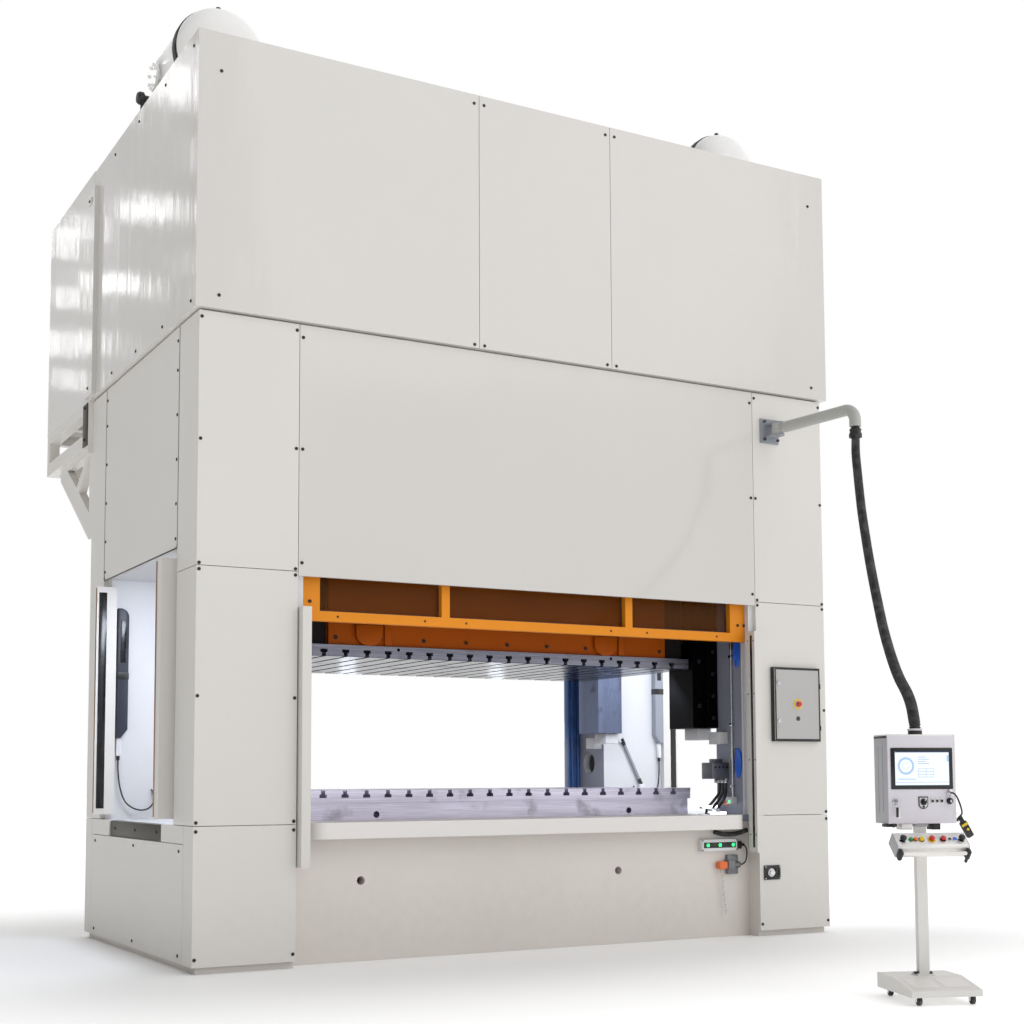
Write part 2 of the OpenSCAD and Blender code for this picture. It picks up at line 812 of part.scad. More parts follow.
// Flanged servo motors on the crown's back plate
module servo_motors() {
    flange_r = motor_d / 2 + 30;
    flange_t = 40;
    hood_l = 160;
    box_half = 130;
    shaft_hole = 250;
    color(dark_steel) both_sides() translate([pinion_x, crown_back, pinion_z]) difference() {
        union() {
            y_bar(flange_r, 0, flange_t);
            y_bar(motor_d / 2, flange_t - lap, motor_l - hood_l);
            y_bar(motor_d / 2 - 25, motor_l - hood_l - lap, motor_l);
            slab(-box_half, box_half, 250, 250 + 2 * box_half, motor_d / 2 - 60, motor_d / 2 + 90);
        }
        y_bar(pinion_shaft_d / 2 + clear, -over, shaft_hole);
    }
}

// Slide weldment: open bays, towers round the lower rod ends and tongues between the gibs
module slide_body() {
    bays = 5;
    bay_w = (slide_w - (bays + 1) * slide_wall) / bays;
    bay_y0 = tower_y + tower_wall + 40;
    bay_y1 = slide_d / 2 - slide_wall;
    color(orange) difference() {
        union() {
            slab(-slide_w / 2, slide_w / 2, -slide_d / 2, slide_d / 2, body_z, body_top);
            slab(-guide_w / 2, guide_w / 2, -plate_d / 2 + 62, plate_d / 2 - 62, body_z, body_top);
            slab(-tongue_w / 2, tongue_w / 2, -tongue_d / 2, tongue_d / 2, body_z + 100, body_top);
            both_sides() slab(rod_x0 - tower_wall, rod_x1 + tower_wall, -tower_y - tower_wall,
                              tower_y + tower_wall,
                              body_top - over, tower_top);
        }
        both_sides() slab(rod_x0, rod_x1, -tower_y, tower_y, pocket_z, tower_top + over);
        for (i = [0 : bays - 1]) {
            x0 = -slide_w / 2 + slide_wall + i * (bay_w + slide_wall);
            front_and_back() slab(x0, x0 + bay_w, bay_y0, bay_y1, body_z + 2 * slide_wall,
                                  body_top + over);
        }
    }
}

// Slotted plate under the slide
module slide_plate() {
    hole_z = slide_z + slide_plate_h * 0.75;
    color(steel) difference() {
        slab(-plate_w / 2, plate_w / 2, -plate_d / 2, plate_d / 2, slide_z, body_z);
        t_slots(slide_z, -1);
        both_sides() translate([slide_hole_x, 0, hole_z])
            y_bar(lift_hole_d / 4, -plate_d / 2 - over, -plate_d / 2 + 100);
    }
}

// Gib rails on the uprights, one at each corner of the slide
module gib_rails() {
    bolt_r = 18;
    bolt_h = 14;
    bolt_rows = 9;
    bolt_in = 60;
    color(dark_steel) four_corners() {
        slab(gib_x, inner_x, gib_y, gib_y + gib_d, gib_z, gib_top);
        for (i = [0 : bolt_rows - 1])
            translate([(gib_x + inner_x) / 2, gib_y + gib_d,
                       gib_z + bolt_in + i * (gib_top - gib_z - 2 * bolt_in) / (bolt_rows - 1)])
                y_bar(bolt_r, -lap, bolt_h);
    }
}

// Bronze liners on the slide's end guides and tongues
module gib_liners() {
    z0 = body_z + 100 + liner_margin;
    z1 = body_top - liner_margin;
    y1 = plate_d / 2 - 62;
    color("peru") four_corners() {
        slab(guide_w / 2, guide_w / 2 + liner_t, gib_y + liner_margin, y1 - liner_margin, z0, z1);
        slab(gib_x + liner_margin, tongue_w / 2 - liner_margin / 2, tongue_d / 2,
             tongue_d / 2 + tongue_liner_t, z0, z1);
    }
}

// Balance cylinders under the crown and their pistons on the slide
module balance_cylinders() {
    head = 40;
    z0 = upright_top - balance_h;
    bore = balance_d / 2 - 20;
    color(white) four_corners() translate([balance_x, balance_y, 0]) difference() {
        z_bar(balance_d / 2, z0, upright_top);
        z_bar(bore, z0 + head, upright_top - head);
        z_bar(balance_rod_d / 2 + run_fit, z0 - over, z0 + head + over);
    }
}
module balance_pistons() {
    head = 40;
    piston_h = 60;
    bore = balance_d / 2 - 20;
    piston_top = upright_top - head - 10;
    color(steel) four_corners() translate([balance_x, balance_y, 0]) {
        z_bar(balance_rod_d / 2, body_top, piston_top - piston_h + lap);
        z_bar(bore - run_fit, piston_top - piston_h, piston_top);
    }
}

// Lifting front guard: painted frame with guide shoes, and its tinted windows
module guard_frame() {
    top_z = guard_z + guard_h;
    post_in = guard_w / 2 - guard_post_w;
    shoe_h = 160;
    shoe_x = track_x - clear;
    color(orange) {
        difference() {
            slab(-guard_w / 2, guard_w / 2, guard_y, guard_y + guard_t, guard_z, top_z);
            slab(-guard_bar_x + guard_bar_w / 2, guard_bar_x - guard_bar_w / 2,
                 guard_y - over, guard_y + guard_t + over, guard_z + guard_rail_h, top_z - guard_rail_h);
            both_sides()
                slab(guard_bar_x + guard_bar_w / 2, post_in, guard_y - over, guard_y + guard_t + over,
                     guard_z + guard_rail_h, top_z - guard_rail_h);
        }
        both_sides() for (z = [guard_z, top_z - shoe_h])
            slab(guard_w / 2 - lap, shoe_x, guard_y, guard_y + guard_t, z, z + shoe_h);
    }
}
module guard_windows() {
    hold = 20;
    y0 = guard_y + guard_t;
    post_in = guard_w / 2 - guard_post_w;
    z0 = guard_z + guard_rail_h - hold;
    z1 = guard_z + guard_h - guard_rail_h + hold;
    color([0.35, 0.18, 0.10, 0.6]) {
        slab(-guard_bar_x + hold / 2, guard_bar_x - hold / 2, y0, y0 + window_t, z0, z1);
        both_sides() slab(guard_bar_x + hold / 2, post_in + hold, y0, y0 + window_t, z0, z1);
    }
}

// Guard tracks on the front of the uprights, and cleats for the rear upper panel
module guard_rails() {
    cleat_d = 40;
    lip_x = guard_w / 2 - track_lip;
    y0 = -weld_y;
    slot_y0 = guard_y - 3;
    slot_y1 = guard_y + guard_t + 3;
    color(white) both_sides() {
        difference() {
            slab(lip_x, inner_x, y0, y0 + track_d, apron_z + over, upright_top);
            slab(lip_x - over, track_x, slot_y0, slot_y1, apron_z, upright_top + over);
            slab(lip_x - over, track_x - track_t, slot_y1 - over, y0 + track_d + over, apron_z,
                 upright_top + over);
        }
        slab(lip_x, inner_x, weld_y - cleat_d, weld_y, upper_panel_z, upright_top);
    }
}

// Folded panel that faces the front at y
module front_pan(x0, x1, z0, z1, y, depth) {
    difference() {
        slab(x0, x1, y, y + depth, z0, z1);
        slab(x0 + sheet, x1 - sheet, y + sheet, y + depth + over, z0 + sheet, z1 - sheet);
    }
}
// Folded panel that faces the right at x
module side_pan(y0, y1, z0, z1, x, depth) {
    difference() {
        slab(x - depth, x, y0, y1, z0, z1);
        slab(x - depth - over, x - sheet, y0 + sheet, y1 - sheet, z0 + sheet, z1 - sheet);
    }
}

// Crown covers, roof, rear corner posts and the upper panels between the columns
module upper_panels() {
    post_out = 33;
    post_front = 134;
    post_back = 85;
    post_low = 147;
    roof_x = weld_x - seam;
    z1 = crown_cover_top;
    color(white) {
        front_pan(-crown_seam_x + seam / 2, crown_seam_x - seam / 2, crown_z, z1, -crown_y, crown_depth);
        both_sides() {
            front_pan(crown_seam_x + seam / 2, crown_x, crown_z, z1, -crown_y, crown_depth);
            side_pan(-weld_y + seam / 2, crown_cover_back, crown_z, z1, crown_x, crown_depth);
            slab(crown_x, crown_x + post_out, crown_cover_back - post_front, crown_cover_back, crown_z,
                 z1 - post_low);
            slab(crown_x + clear, crown_x + post_out, crown_cover_back - lap, crown_cover_back + post_back,
                 crown_z, z1 - post_low);
        }
        difference() {
            slab(-roof_x, roof_x, -weld_y + seam, crown_cover_back, crown_top, roof_z);
            slab(-roof_x + sheet, roof_x - sheet, -weld_y + seam + sheet, crown_cover_back - sheet,
                 crown_top - over, roof_z - sheet);
        }
        front_and_back() front_pan(-opening_w / 2 + seam / 2, opening_w / 2 - seam / 2,
                                   upper_panel_z, column_top, -half_d, cover_depth);
    }
}

// Corner cover wrapped round a column: front face and part of the side
module corner_cover(z0, z1, side_y) {
    fold = [[cover_in_x, -half_d], [half_w, -half_d], [half_w, side_y], [weld_x, side_y],
            [weld_x, side_y - sheet], [half_w - sheet, side_y - sheet], [half_w - sheet, -half_d + sheet],
            [cover_in_x + sheet, -half_d + sheet], [cover_in_x + sheet, -weld_y], [cover_in_x, -weld_y]];
    translate([0, 0, z0]) linear_extrude(z1 - z0) polygon(fold);
}

// Upper side panel with rounded lower corners
module side_panel() {
    half = side_panel_w / 2;
    r = side_panel_r;
    h = column_top - side_panel_z;
    translate([weld_x, 0, side_panel_z]) rotate([90, 0, 90]) linear_extrude(cover_depth) union() {
        translate([-half, r]) square([2 * half, h - r]);
        translate([-half + r, 0]) square([2 * (half - r), r + lap]);
        for (s = [-1, 1]) translate([s * (half - r), r]) circle(r);
    }
}

// Column, base and side covers
module frame_covers() {
    side_y = -side_panel_w / 2 - seam;
    base_y = -base_panel_w / 2 - seam;
    base_top = base_seam_z - seam / 2;
    color(white) {
        four_corners() {
            corner_cover(base_seam_z + seam / 2, column_seam_z - seam / 2, side_y);
            corner_cover(column_seam_z + seam / 2, column_top, side_y);
            corner_cover(floor_gap, base_top, base_y);
            slab(weld_x, half_w, -base_panel_w / 2, -sill_w / 2 - seam, base_panel_z + seam, base_top);
        }
        both_sides() {
            side_panel();
            side_pan(-base_panel_w / 2, base_panel_w / 2, floor_gap, base_panel_z, half_w, cover_depth);
        }
    }
}

// Apron shelf in front of the bolster, with a lip rounded at both ends
module apron_outline(inset) {
    half = apron_w / 2 - inset;
    r = apron_r - inset;
    y0 = -half_d + inset;
    y1 = -plate_d / 2 - apron_gap;
    translate([-half, y0 + r]) square([2 * half, y1 - y0 - r]);
    translate([-half + r, y0]) square([2 * (half - r), r + lap]);
    for (s = [-1, 1]) translate([s * (half - r), y0 + r]) circle(r);
}
module apron_tray() {
    top_t = 10;
    lip_t = 6;
    rib_in = 155;
    ribs = [for (i = [-2 : 2]) i * (apron_w / 2 - rib_in) / 2];
    rib_t = 20;
    y1 = -plate_d / 2 - apron_gap;
    color(white) {
        translate([0, 0, apron_z - top_t]) linear_extrude(top_t) apron_outline(0);
        difference() {
            translate([0, 0, apron_z - apron_lip]) linear_extrude(apron_lip - top_t / 2) apron_outline(0);
            translate([0, 0, apron_z - apron_lip - over]) linear_extrude(apron_lip + over)
                apron_outline(lip_t);
            slab(-apron_w, apron_w, -half_bed - 20, 0, apron_z - apron_lip - over, apron_z - top_t);
        }
        for (x = ribs)
            slab(x - rib_t / 2, x + rib_t / 2, -half_bed, y1, bed_h, apron_z - top_t / 2);
    }
}

// Enclosure behind the crown, round the servo motors
module rear_enclosure() {
    y0 = crown_cover_back + seam;
    z0 = crown_z - 5;
    z1 = z0 + rear_wall;
    z2 = rear_top - rear_wall;
    x1 = crown_x - rear_wall;
    door_n = 4;
    door_t_out = 8;
    door_w = 2 * crown_x / door_n;
    color(white) {
        slab(-crown_x, crown_x, y0, rear_y, z0, z1);
        slab(-crown_x, crown_x, y0, rear_y, z2, rear_top);
        both_sides() slab(x1, crown_x, y0, rear_y, z1 + clear, z2 - clear);
        slab(-x1 + clear, x1 - clear, rear_y - rear_wall, rear_y, z1 + clear, z2 - clear);
        for (i = [0 : door_n - 1]) {
            x0 = -crown_x + i * door_w;
            slab(x0 + 30, x0 + door_w - 30, rear_y - lap, rear_y + door_t_out, z0 + 60, rear_top - 60);
        }
    }
}

// Platform under the rear enclosure: beams, posts and gusset brackets on the columns
module gusset() {
    tip = [half_d, gusset_z];
    top = beam_z;
    out = half_d + gusset_y;
    slope = (top - gusset_z - gusset_bar) / (gusset_y - gusset_bar);
    mid = half_d + gusset_y * 0.45;
    inner_y0 = half_d + gusset_bar;
    inner_z = gusset_z + gusset_bar * 2.1;
    rotate([90, 0, 90]) linear_extrude(gusset_t) difference() {
        polygon([tip, [half_d + gusset_bar, gusset_z], [out, top - gusset_bar], [out, top], [half_d,
                                                                                             top]]);
        polygon([[inner_y0, inner_z], [mid - gusset_bar / 2,
                                       inner_z + slope * (mid - gusset_bar / 2 - inner_y0)],
                 [inner_y0, top - gusset_bar / 2]]);
        polygon([[mid + gusset_bar / 4, top - gusset_bar / 2], [out - 2.4 * gusset_bar,
                                                                top - gusset_bar / 2],
                 [mid + gusset_bar / 3, inner_z + slope * (mid + gusset_bar / 3 - inner_y0)],
                 [inner_y0 + gusset_bar, top - gusset_bar / 2]]);
    }
}
module rear_platform() {
    z_top = crown_z - 5;
    upper_h = 70;
    y1 = rear_y - 10;
    cross_y = [y1 - beam_w, (half_d + y1) / 2];
    beam_x = [crown_x - beam_w, inner_x + 40];
    color(white) both_sides() {
        for (x = beam_x) {
            slab(x, x + beam_w, half_d, y1, beam_z, beam_z + beam_h);
            slab(x, x + beam_w, half_d, y1, z_top - upper_h, z_top);
            slab(x, x + beam_w, y1 - beam_w, y1, beam_z, z_top);
            slab(x, x + beam_w, half_d, half_d + beam_w, beam_z - 60, z_top);
            translate([min(x, half_w - gusset_t), 0, 0]) gusset();
        }
        for (y = cross_y) {
            slab(-over, crown_x - beam_w + over, y, y + beam_w, beam_z, beam_z + beam_h);
            slab(-over, crown_x - beam_w + over, y, y + beam_w, z_top - upper_h, z_top);
        }
    }
}

// Surge tanks on the roof, with domed heads, saddles and fittings
module tank_profile() {
    r = tank_d / 2;
    steps = 8;
    head = [for (i = [0 : steps]) [r * cos(i * 90 / steps), tank_l + tank_head * sin(i * 90 / steps)]];
    tail = [for (i = [steps : -1 : 0]) [r * cos(i * 90 / steps), -tank_head * sin(i * 90 / steps)]];
    polygon(concat(head, tail));
}
module surge_tanks() {
    r = tank_d / 2;
    axis_z = roof_z + r + 6;
    saddle_l = 80;
    saddle_in = 110;
    saddles = [saddle_in, tank_l - saddle_in];
    valve_r = 20;
    valve_h = 46;
    flange_r = 95;
    flange_t = 20;
    flange_out = 36;
    flange_y = tank_l - 150;
    flange_z = -50;
    neck_r = 70;
    stub_r = 28;
    stub_out = 70;
    stub_y = tank_l + tank_head * 2 / 3;
    stub_z = -100;
    color(white) both_sides() translate([tank_x, tank_y, axis_z]) {
        rotate([-90, 0, 0]) rotate_extrude() tank_profile();
        for (y = saddles) slab(-r * 0.8, r * 0.8, y - saddle_l / 2, y + saddle_l / 2, -r - 6, -r * 0.55);
        translate([0, 60, 0]) z_bar(valve_r, r - 20, r + valve_h);
        translate([0, flange_y, flange_z]) {
            x_bar(neck_r, r / 2, r + flange_out);
            x_bar(flange_r, r + flange_out - flange_t, r + flange_out);
        }
        translate([0, stub_y, stub_z]) x_bar(stub_r, r / 2, r + stub_out);
    }
}

// Light curtain posts at the front and beside the feed windows
module curtain_posts() {
    front_x1 = opening_w / 2 - 7;
    y0 = half_win - 50;
    post_in = weld_x - 26;
    out_x = half_w + side_post_out;
    section = [[post_in, y0], [out_x, y0], [out_x, y0 + side_post_w], [weld_x, y0 + side_post_w],
               [weld_x, half_win - 4], [post_in, half_win - 4]];
    color(white) {
        both_sides() slab(front_x1 - curtain_w, front_x1, -weld_y - curtain_d, -weld_y, curtain_z,
                          curtain_z + curtain_h);
        four_corners() translate([0, 0, side_post_z]) linear_extrude(side_post_h) polygon(section);
    }
}

// Tall work lamps on the rear jambs of the feed windows
module work_lamps() {
    lamp_x1 = weld_x - 33;
    band_h = 50;
    band_z = lamp_z + lamp_h * 0.45;
    color("slategray") both_sides() {
        slab(lamp_x1 - lamp_w, lamp_x1, half_win - lamp_d, half_win, lamp_z, lamp_z + lamp_h);
        slab(lamp_x1 - lamp_w - 6, lamp_x1 + 6, half_win - lamp_d - 6, half_win, band_z, band_z + band_h);
    }
}

// Shallow electric box on the right column, its door and stop button
hinge_x = box_x + box_w - box_rim / 2;
door_y = -half_d - box_d - door_gap;
hinge_y = door_y - door_t / 2;
hinge_z = [box_z + 80, box_z + box_h - 80 - 2 * hinge_l];
module electric_box() {
    back_t = 5;
    y1 = -half_d;
    color(black) {
        difference() {
            slab(box_x, box_x + box_w, y1 - box_d, y1, box_z, box_z + box_h);
            slab(box_x + box_rim, box_x + box_w - box_rim, y1 - box_d - over, y1 - back_t,
                 box_z + box_rim, box_z + box_h - box_rim);
        }
        for (z = hinge_z) translate([hinge_x, hinge_y, 0]) {
            z_bar(hinge_r, z, z + hinge_l);
            z_bar(hinge_pin_r, z, z + 2 * hinge_l - 4);
            slab(-hinge_r / 2, hinge_r / 2, 0, door_t / 2 + door_gap + lap, z, z + hinge_l);
        }
    }
}
module box_door() {
    x0 = box_x + box_rim / 2;
    z0 = box_z + box_rim / 2;
    z1 = box_z + box_h - box_rim / 2;
    door_x1 = hinge_x - hinge_r - 1;
    stop_base_r = 26;
    stop_base_t = 4;
    lock_r = 12;
    color([0.82, 0.82, 0.82]) difference() {
        union() {
            slab(x0, door_x1, door_y - door_t, door_y, z0, z1);
            for (z = hinge_z) {
                translate([hinge_x, hinge_y, 0]) z_bar(hinge_r, z + hinge_l + 0.5, z + 2 * hinge_l);
                slab(door_x1 - lap, hinge_x, hinge_y - 2, hinge_y + 2, z + hinge_l + 0.5,
                     z + 2 * hinge_l);
            }
            translate([x0 + box_stop_x, 0, z0 + box_stop_z]) y_bar(stop_base_r,
                                                                   door_y - door_t - stop_base_t, door_y);
            for (z = [z0 + 90, z1 - 90]) translate([x0 + 30, 0, z]) y_bar(lock_r, door_y - door_t - 4,
                                                                          door_y);
        }
        for (z = hinge_z) translate([hinge_x, hinge_y, 0]) z_bar(hinge_pin_r + run_fit, z + hinge_l,
                                                                 z + 2 * hinge_l - 3);
        translate([x0 + box_stop_x, 0, z0 + box_stop_z]) y_bar(stem_d / 2 + run_fit,
                                                               door_y - door_t - 10, door_y - 1);
    }
}
module box_stop_button() {
    x0 = box_x + box_rim / 2 + box_stop_x;
    z0 = box_z + box_rim / 2 + box_stop_z;
    base_y = door_y - door_t - 4;
    color(red) translate([x0, 0, z0]) {
        y_bar(stem_d / 2, base_y - 12, base_y + 8);
        y_bar(20, base_y - 26, base_y - 12 + lap);
    }
}

// Bracket on the right column and the swing arm that carries the hose
module arm_bracket() {
    y1 = -half_d;
    flange_t = 12;
    lug_r = 46;
    gap_z = arm_hub_h / 2 + clear;
    color(steel) translate([arm_x, 0, arm_z]) {
        slab(-arm_flange_w / 2, arm_flange_w / 2, y1 - flange_t, y1, -arm_flange_h / 2, arm_flange_h / 2);
        for (z = [gap_z, -gap_z - arm_lug_t]) {
            translate([0, y1 - arm_out, 0]) z_bar(lug_r, z, z + arm_lug_t);
            slab(-lug_r, lug_r, y1 - arm_out, y1 - flange_t + lap, z, z + arm_lug_t);
        }
        translate([0, y1 - arm_out, 0]) z_bar(arm_pin_d / 2, -gap_z - arm_lug_t - 6,
                                              gap_z + arm_lug_t + 6);
    }
}
module swing_arm() {
    hub_r = 45;
    neck = 26;
    tube_start = 72;
    bend_y = arm_reach - arm_bend;
    color([0.72, 0.73, 0.74]) translate([arm_x, -half_d - arm_out, arm_z]) rotate(180 + arm_yaw)
        difference() {
        union() {
            z_bar(hub_r, -arm_hub_h / 2, arm_hub_h / 2);
            slab(-neck, neck, 0, tube_start + 10, -neck, neck);
            y_bar(arm_d / 2, tube_start, bend_y);
            translate([0, bend_y, -arm_bend]) rotate([90, 0, 90]) rotate_extrude(angle = 90)
                translate([arm_bend, 0]) circle(d = arm_d);
            translate([0, arm_reach, -arm_bend]) z_bar(arm_d / 2, -arm_drop, 0);
        }
        z_bar(arm_pin_d / 2 + run_fit, -arm_hub_h, arm_hub_h);
    }
}

// Ribbed hose from the arm's elbow to the console's gland, swept along hand-chosen bends
gland_y = 90;
gland_h = 32;
hose_start = [arm_x + arm_reach * sin(arm_yaw), -half_d - arm_out - arm_reach * cos(arm_yaw),
              arm_z - arm_bend - arm_drop - clear];
hose_end = [console_x - gland_y * sin(console_turn), console_y + gland_y * cos(console_turn),
            housing_z + housing_h + gland_h + clear];
// Each bend: its share of the way from start to end, then its offset from the straight line
hose_bends = [
    [0, 0, 0, 0], [0.0268, 37, 52, -32], [0.0568, 69, 100, -68], [0.098, 101, 140, -109],
    [0.1484, 127, 173, -151], [0.2076, 139, 193, -184], [0.2759, 144, 200, -207], [0.3514, 144, 202,
                                                                                   -225],
    [0.4308, 140, 196, -235], [0.5159, 129, 181, -232], [0.6007, 112, 160, -220], [0.6832, 92, 130, -192],
    [0.7558, 68, 96, -152], [0.8215, 39, 58, -95], [0.8777, 13, 22, -35], [0.9209, -7, -4, 8],
    [0.9566, -17, -20, 25], [0.9831, -15, -18, 17], [0.9946, -8, -10, 6], [1, 0, 0, 0]];
hose_route = [for (b = hose_bends) hose_start + b[0] * (hose_end - hose_start) + [b[1], b[2], b[3]]];
hose_sides = 12;
function unit(v) = v / norm(v);
function hose_dir(i) =
    let (n = len(hose_route) - 1)
    i == 0 || i == n ? [0, 0, -1] : unit(hose_route[i + 1] - hose_route[i - 1]);
function hose_ring(i) =
    let (d = hose_dir(i), side = unit(cross(d, [0.8, -0.6, 0])), lift = cross(side, d))
    [for (k = [0 : hose_sides - 1])
        let (turn = k * 360 / hose_sides)
        hose_route[i] + hose_d / 2 * (cos(turn) * side + sin(turn) * lift)];
module console_hose() {
    n = len(hose_route);
    m = hose_sides;
    points = [for (i = [0 : n - 1]) each hose_ring(i)];
    walls = [for (i = [0 : n - 2]) for (k = [0 : m - 1])
        [i * m + k, i * m + (k + 1) % m, (i + 1) * m + (k + 1) % m, (i + 1) * m + k]];
    start = [[for (k = [m - 1 : -1 : 0]) k]];
    finish = [[for (k = [0 : m - 1]) (n - 1) * m + k]];
    color(black) polyhedron(points, concat(start, walls, finish));
}

// Places its children in the console's own frame
module at_console() {
    translate([console_x, console_y, 0]) rotate(console_turn) children();
}

// Console foot with its skirt, castor sockets and column
module pedestal() {
    half_l = foot_l / 2;
    outer = [[-half_l, foot_z], [-half_l, foot_lip_h], [foot_crease, foot_h], [half_l, foot_h], [half_l,
                                                                                                 foot_z]];
    inner = [[-half_l + foot_t, foot_z - over], [-half_l + foot_t, foot_lip_h - foot_t],
             [foot_crease, foot_h - foot_t], [half_l - foot_t, foot_h - foot_t], [half_l - foot_t,
                                                                                  foot_z - over]];
    socket_r = castor_stem_d / 2 + 8;
    slope_z = foot_lip_h + (foot_h - foot_lip_h) * (half_l - castor_y) / (half_l + foot_crease);
    plate_half = 48;
    base_t = 6;
    color(white) at_console() difference() {
        union() {
            difference() {
                translate([-foot_w / 2, 0, 0]) rotate([90, 0, 90]) linear_extrude(foot_w) polygon(outer);
                translate([-foot_w / 2 + foot_t, 0, 0]) rotate([90, 0, 90])
                    linear_extrude(foot_w - 2 * foot_t) polygon(inner);
            }
            for (x = [-castor_x, castor_x]) {
                translate([x, -castor_y, 0]) z_bar(socket_r, castor_top + clear, slope_z - foot_t / 2);
                translate([x, castor_y, 0]) z_bar(socket_r, castor_top + clear, foot_h - foot_t / 2);
            }
            slab(-plate_half, plate_half, post_y - 20, post_y + post_d + 20, foot_h - lap,
                 foot_h + base_t);
            slab(-post_w / 2, post_w / 2, post_y, post_y + post_d, foot_h, housing_z);
        }
        for (x = [-castor_x, castor_x], y = [-castor_y, castor_y])
            translate([x, y, 0]) z_bar(castor_stem_d / 2 + run_fit, castor_top - over,
                                       castor_top + castor_stem_l);
    }
}

// Castors: swivel forks and wheels
castor_top = castor_d + 6;
castor_stem_l = 12;
module castor_fork(x, y) {
    leg_in = castor_w / 2 + 1.5;
    cheek_r = 9;
    crown_r = 20;
    crown_t = 4;
    axle_z = castor_d / 2;
    color(steel) at_console() translate([x, y, 0]) {
        z_bar(castor_stem_d / 2, castor_top - lap, castor_top + castor_stem_l - 1);
        z_bar(crown_r, castor_top - crown_t, castor_top);
        for (s = [leg_in, -leg_in - castor_leg_t]) {
            slab(s, s + castor_leg_t, -castor_trail - cheek_r, cheek_r, castor_top - crown_t - 3,
                 castor_top - crown_t + lap);
            slab(s, s + castor_leg_t, -castor_trail - cheek_r, -castor_trail + cheek_r, axle_z,
                 castor_top - crown_t);
            translate([0, -castor_trail, axle_z]) x_bar(cheek_r, s, s + castor_leg_t);
        }
        translate([0, -castor_trail, axle_z]) x_bar(castor_axle_d / 2, -leg_in - lap, leg_in + lap);
    }
}
module castor_wheel(x, y) {
    color(black) at_console() translate([x, y - castor_trail, castor_d / 2]) difference() {
        union() {
            x_bar(castor_d / 2, -castor_w / 2 + 3, castor_w / 2 - 3);
            x_bar(castor_d / 2 - 3, -castor_w / 2, castor_w / 2);
        }
        x_bar(castor_axle_d / 2 + run_fit, -castor_w, castor_w);
    }
}
module front_left_fork() castor_fork(-castor_x, -castor_y);
module front_right_fork() castor_fork(castor_x, -castor_y);
module rear_left_fork() castor_fork(-castor_x, castor_y);
module rear_right_fork() castor_fork(castor_x, castor_y);
module front_left_wheel() castor_wheel(-castor_x, -castor_y);
module front_right_wheel() castor_wheel(castor_x, -castor_y);
module rear_left_wheel() castor_wheel(-castor_x, castor_y);
module rear_right_wheel() castor_wheel(castor_x, castor_y);

// Console housing with a recess for the screen and sockets for its switches
switch_z = housing_z + switch_up;
switch_depth = 30;
module housing_outline() {
    half = housing_w / 2;
    r = housing_r;
    translate([-half, housing_y]) square([2 * half, housing_d - r]);
    translate([-half + r, housing_y]) square([2 * (half - r), housing_d]);
    for (s = [-1, 1]) translate([s * (half - r), housing_y + housing_d - r]) circle(r);
}
module console_housing() {
    gland_r = 40;
    screen_z = housing_z + screen_up;
    color(console_grey) at_console() difference() {
        union() {
            translate([0, 0, housing_z]) linear_extrude(housing_h) housing_outline();
            translate([0, gland_y, housing_z + housing_h]) z_bar(gland_r, -lap, gland_h);
        }
        slab(-screen_w / 2, screen_w / 2, housing_y - over, housing_y + screen_t - screen_out, screen_z,
             screen_z + screen_h);
        for (x = [key_x, selector_x])
            translate([x, 0, switch_z]) y_bar(stem_d / 2 + run_fit, housing_y - over,
                                              housing_y + switch_depth);
    }
}
module console_screen() {
    screen_z = housing_z + screen_up;
    y0 = housing_y - screen_out;
    color([0.55, 0.70, 0.85]) at_console()
        slab(-screen_w / 2, screen_w / 2, y0, y0 + screen_t, screen_z, screen_z + screen_h);
}
module key_switch() {
    barrel_r = 11;
    barrel_t = 8;
    bow = [3, 22, 26];
    color(steel) at_console() translate([key_x, housing_y, switch_z]) {
        y_bar(stem_d / 2, -clear - lap, switch_depth - 2);
        y_bar(barrel_r, -barrel_t, -clear);
        translate([-bow[0] / 2, -barrel_t - bow[1], -bow[2] / 2]) cube([bow[0], bow[1] + lap, bow[2]]);
    }
}
module mode_selector() {
    dial_r = 17;
    dial_t = 8;
    grip = [10, 14, 32];
    color(black) at_console() translate([selector_x, housing_y, switch_z]) {
        y_bar(stem_d / 2, -clear - lap, switch_depth - 2);
        y_bar(dial_r, -dial_t, -clear);
        translate([-grip[0] / 2, -dial_t - grip[1], -grip[2] / 2]) cube([grip[0], grip[1] + lap,
                                                                         grip[2]]);
    }
}

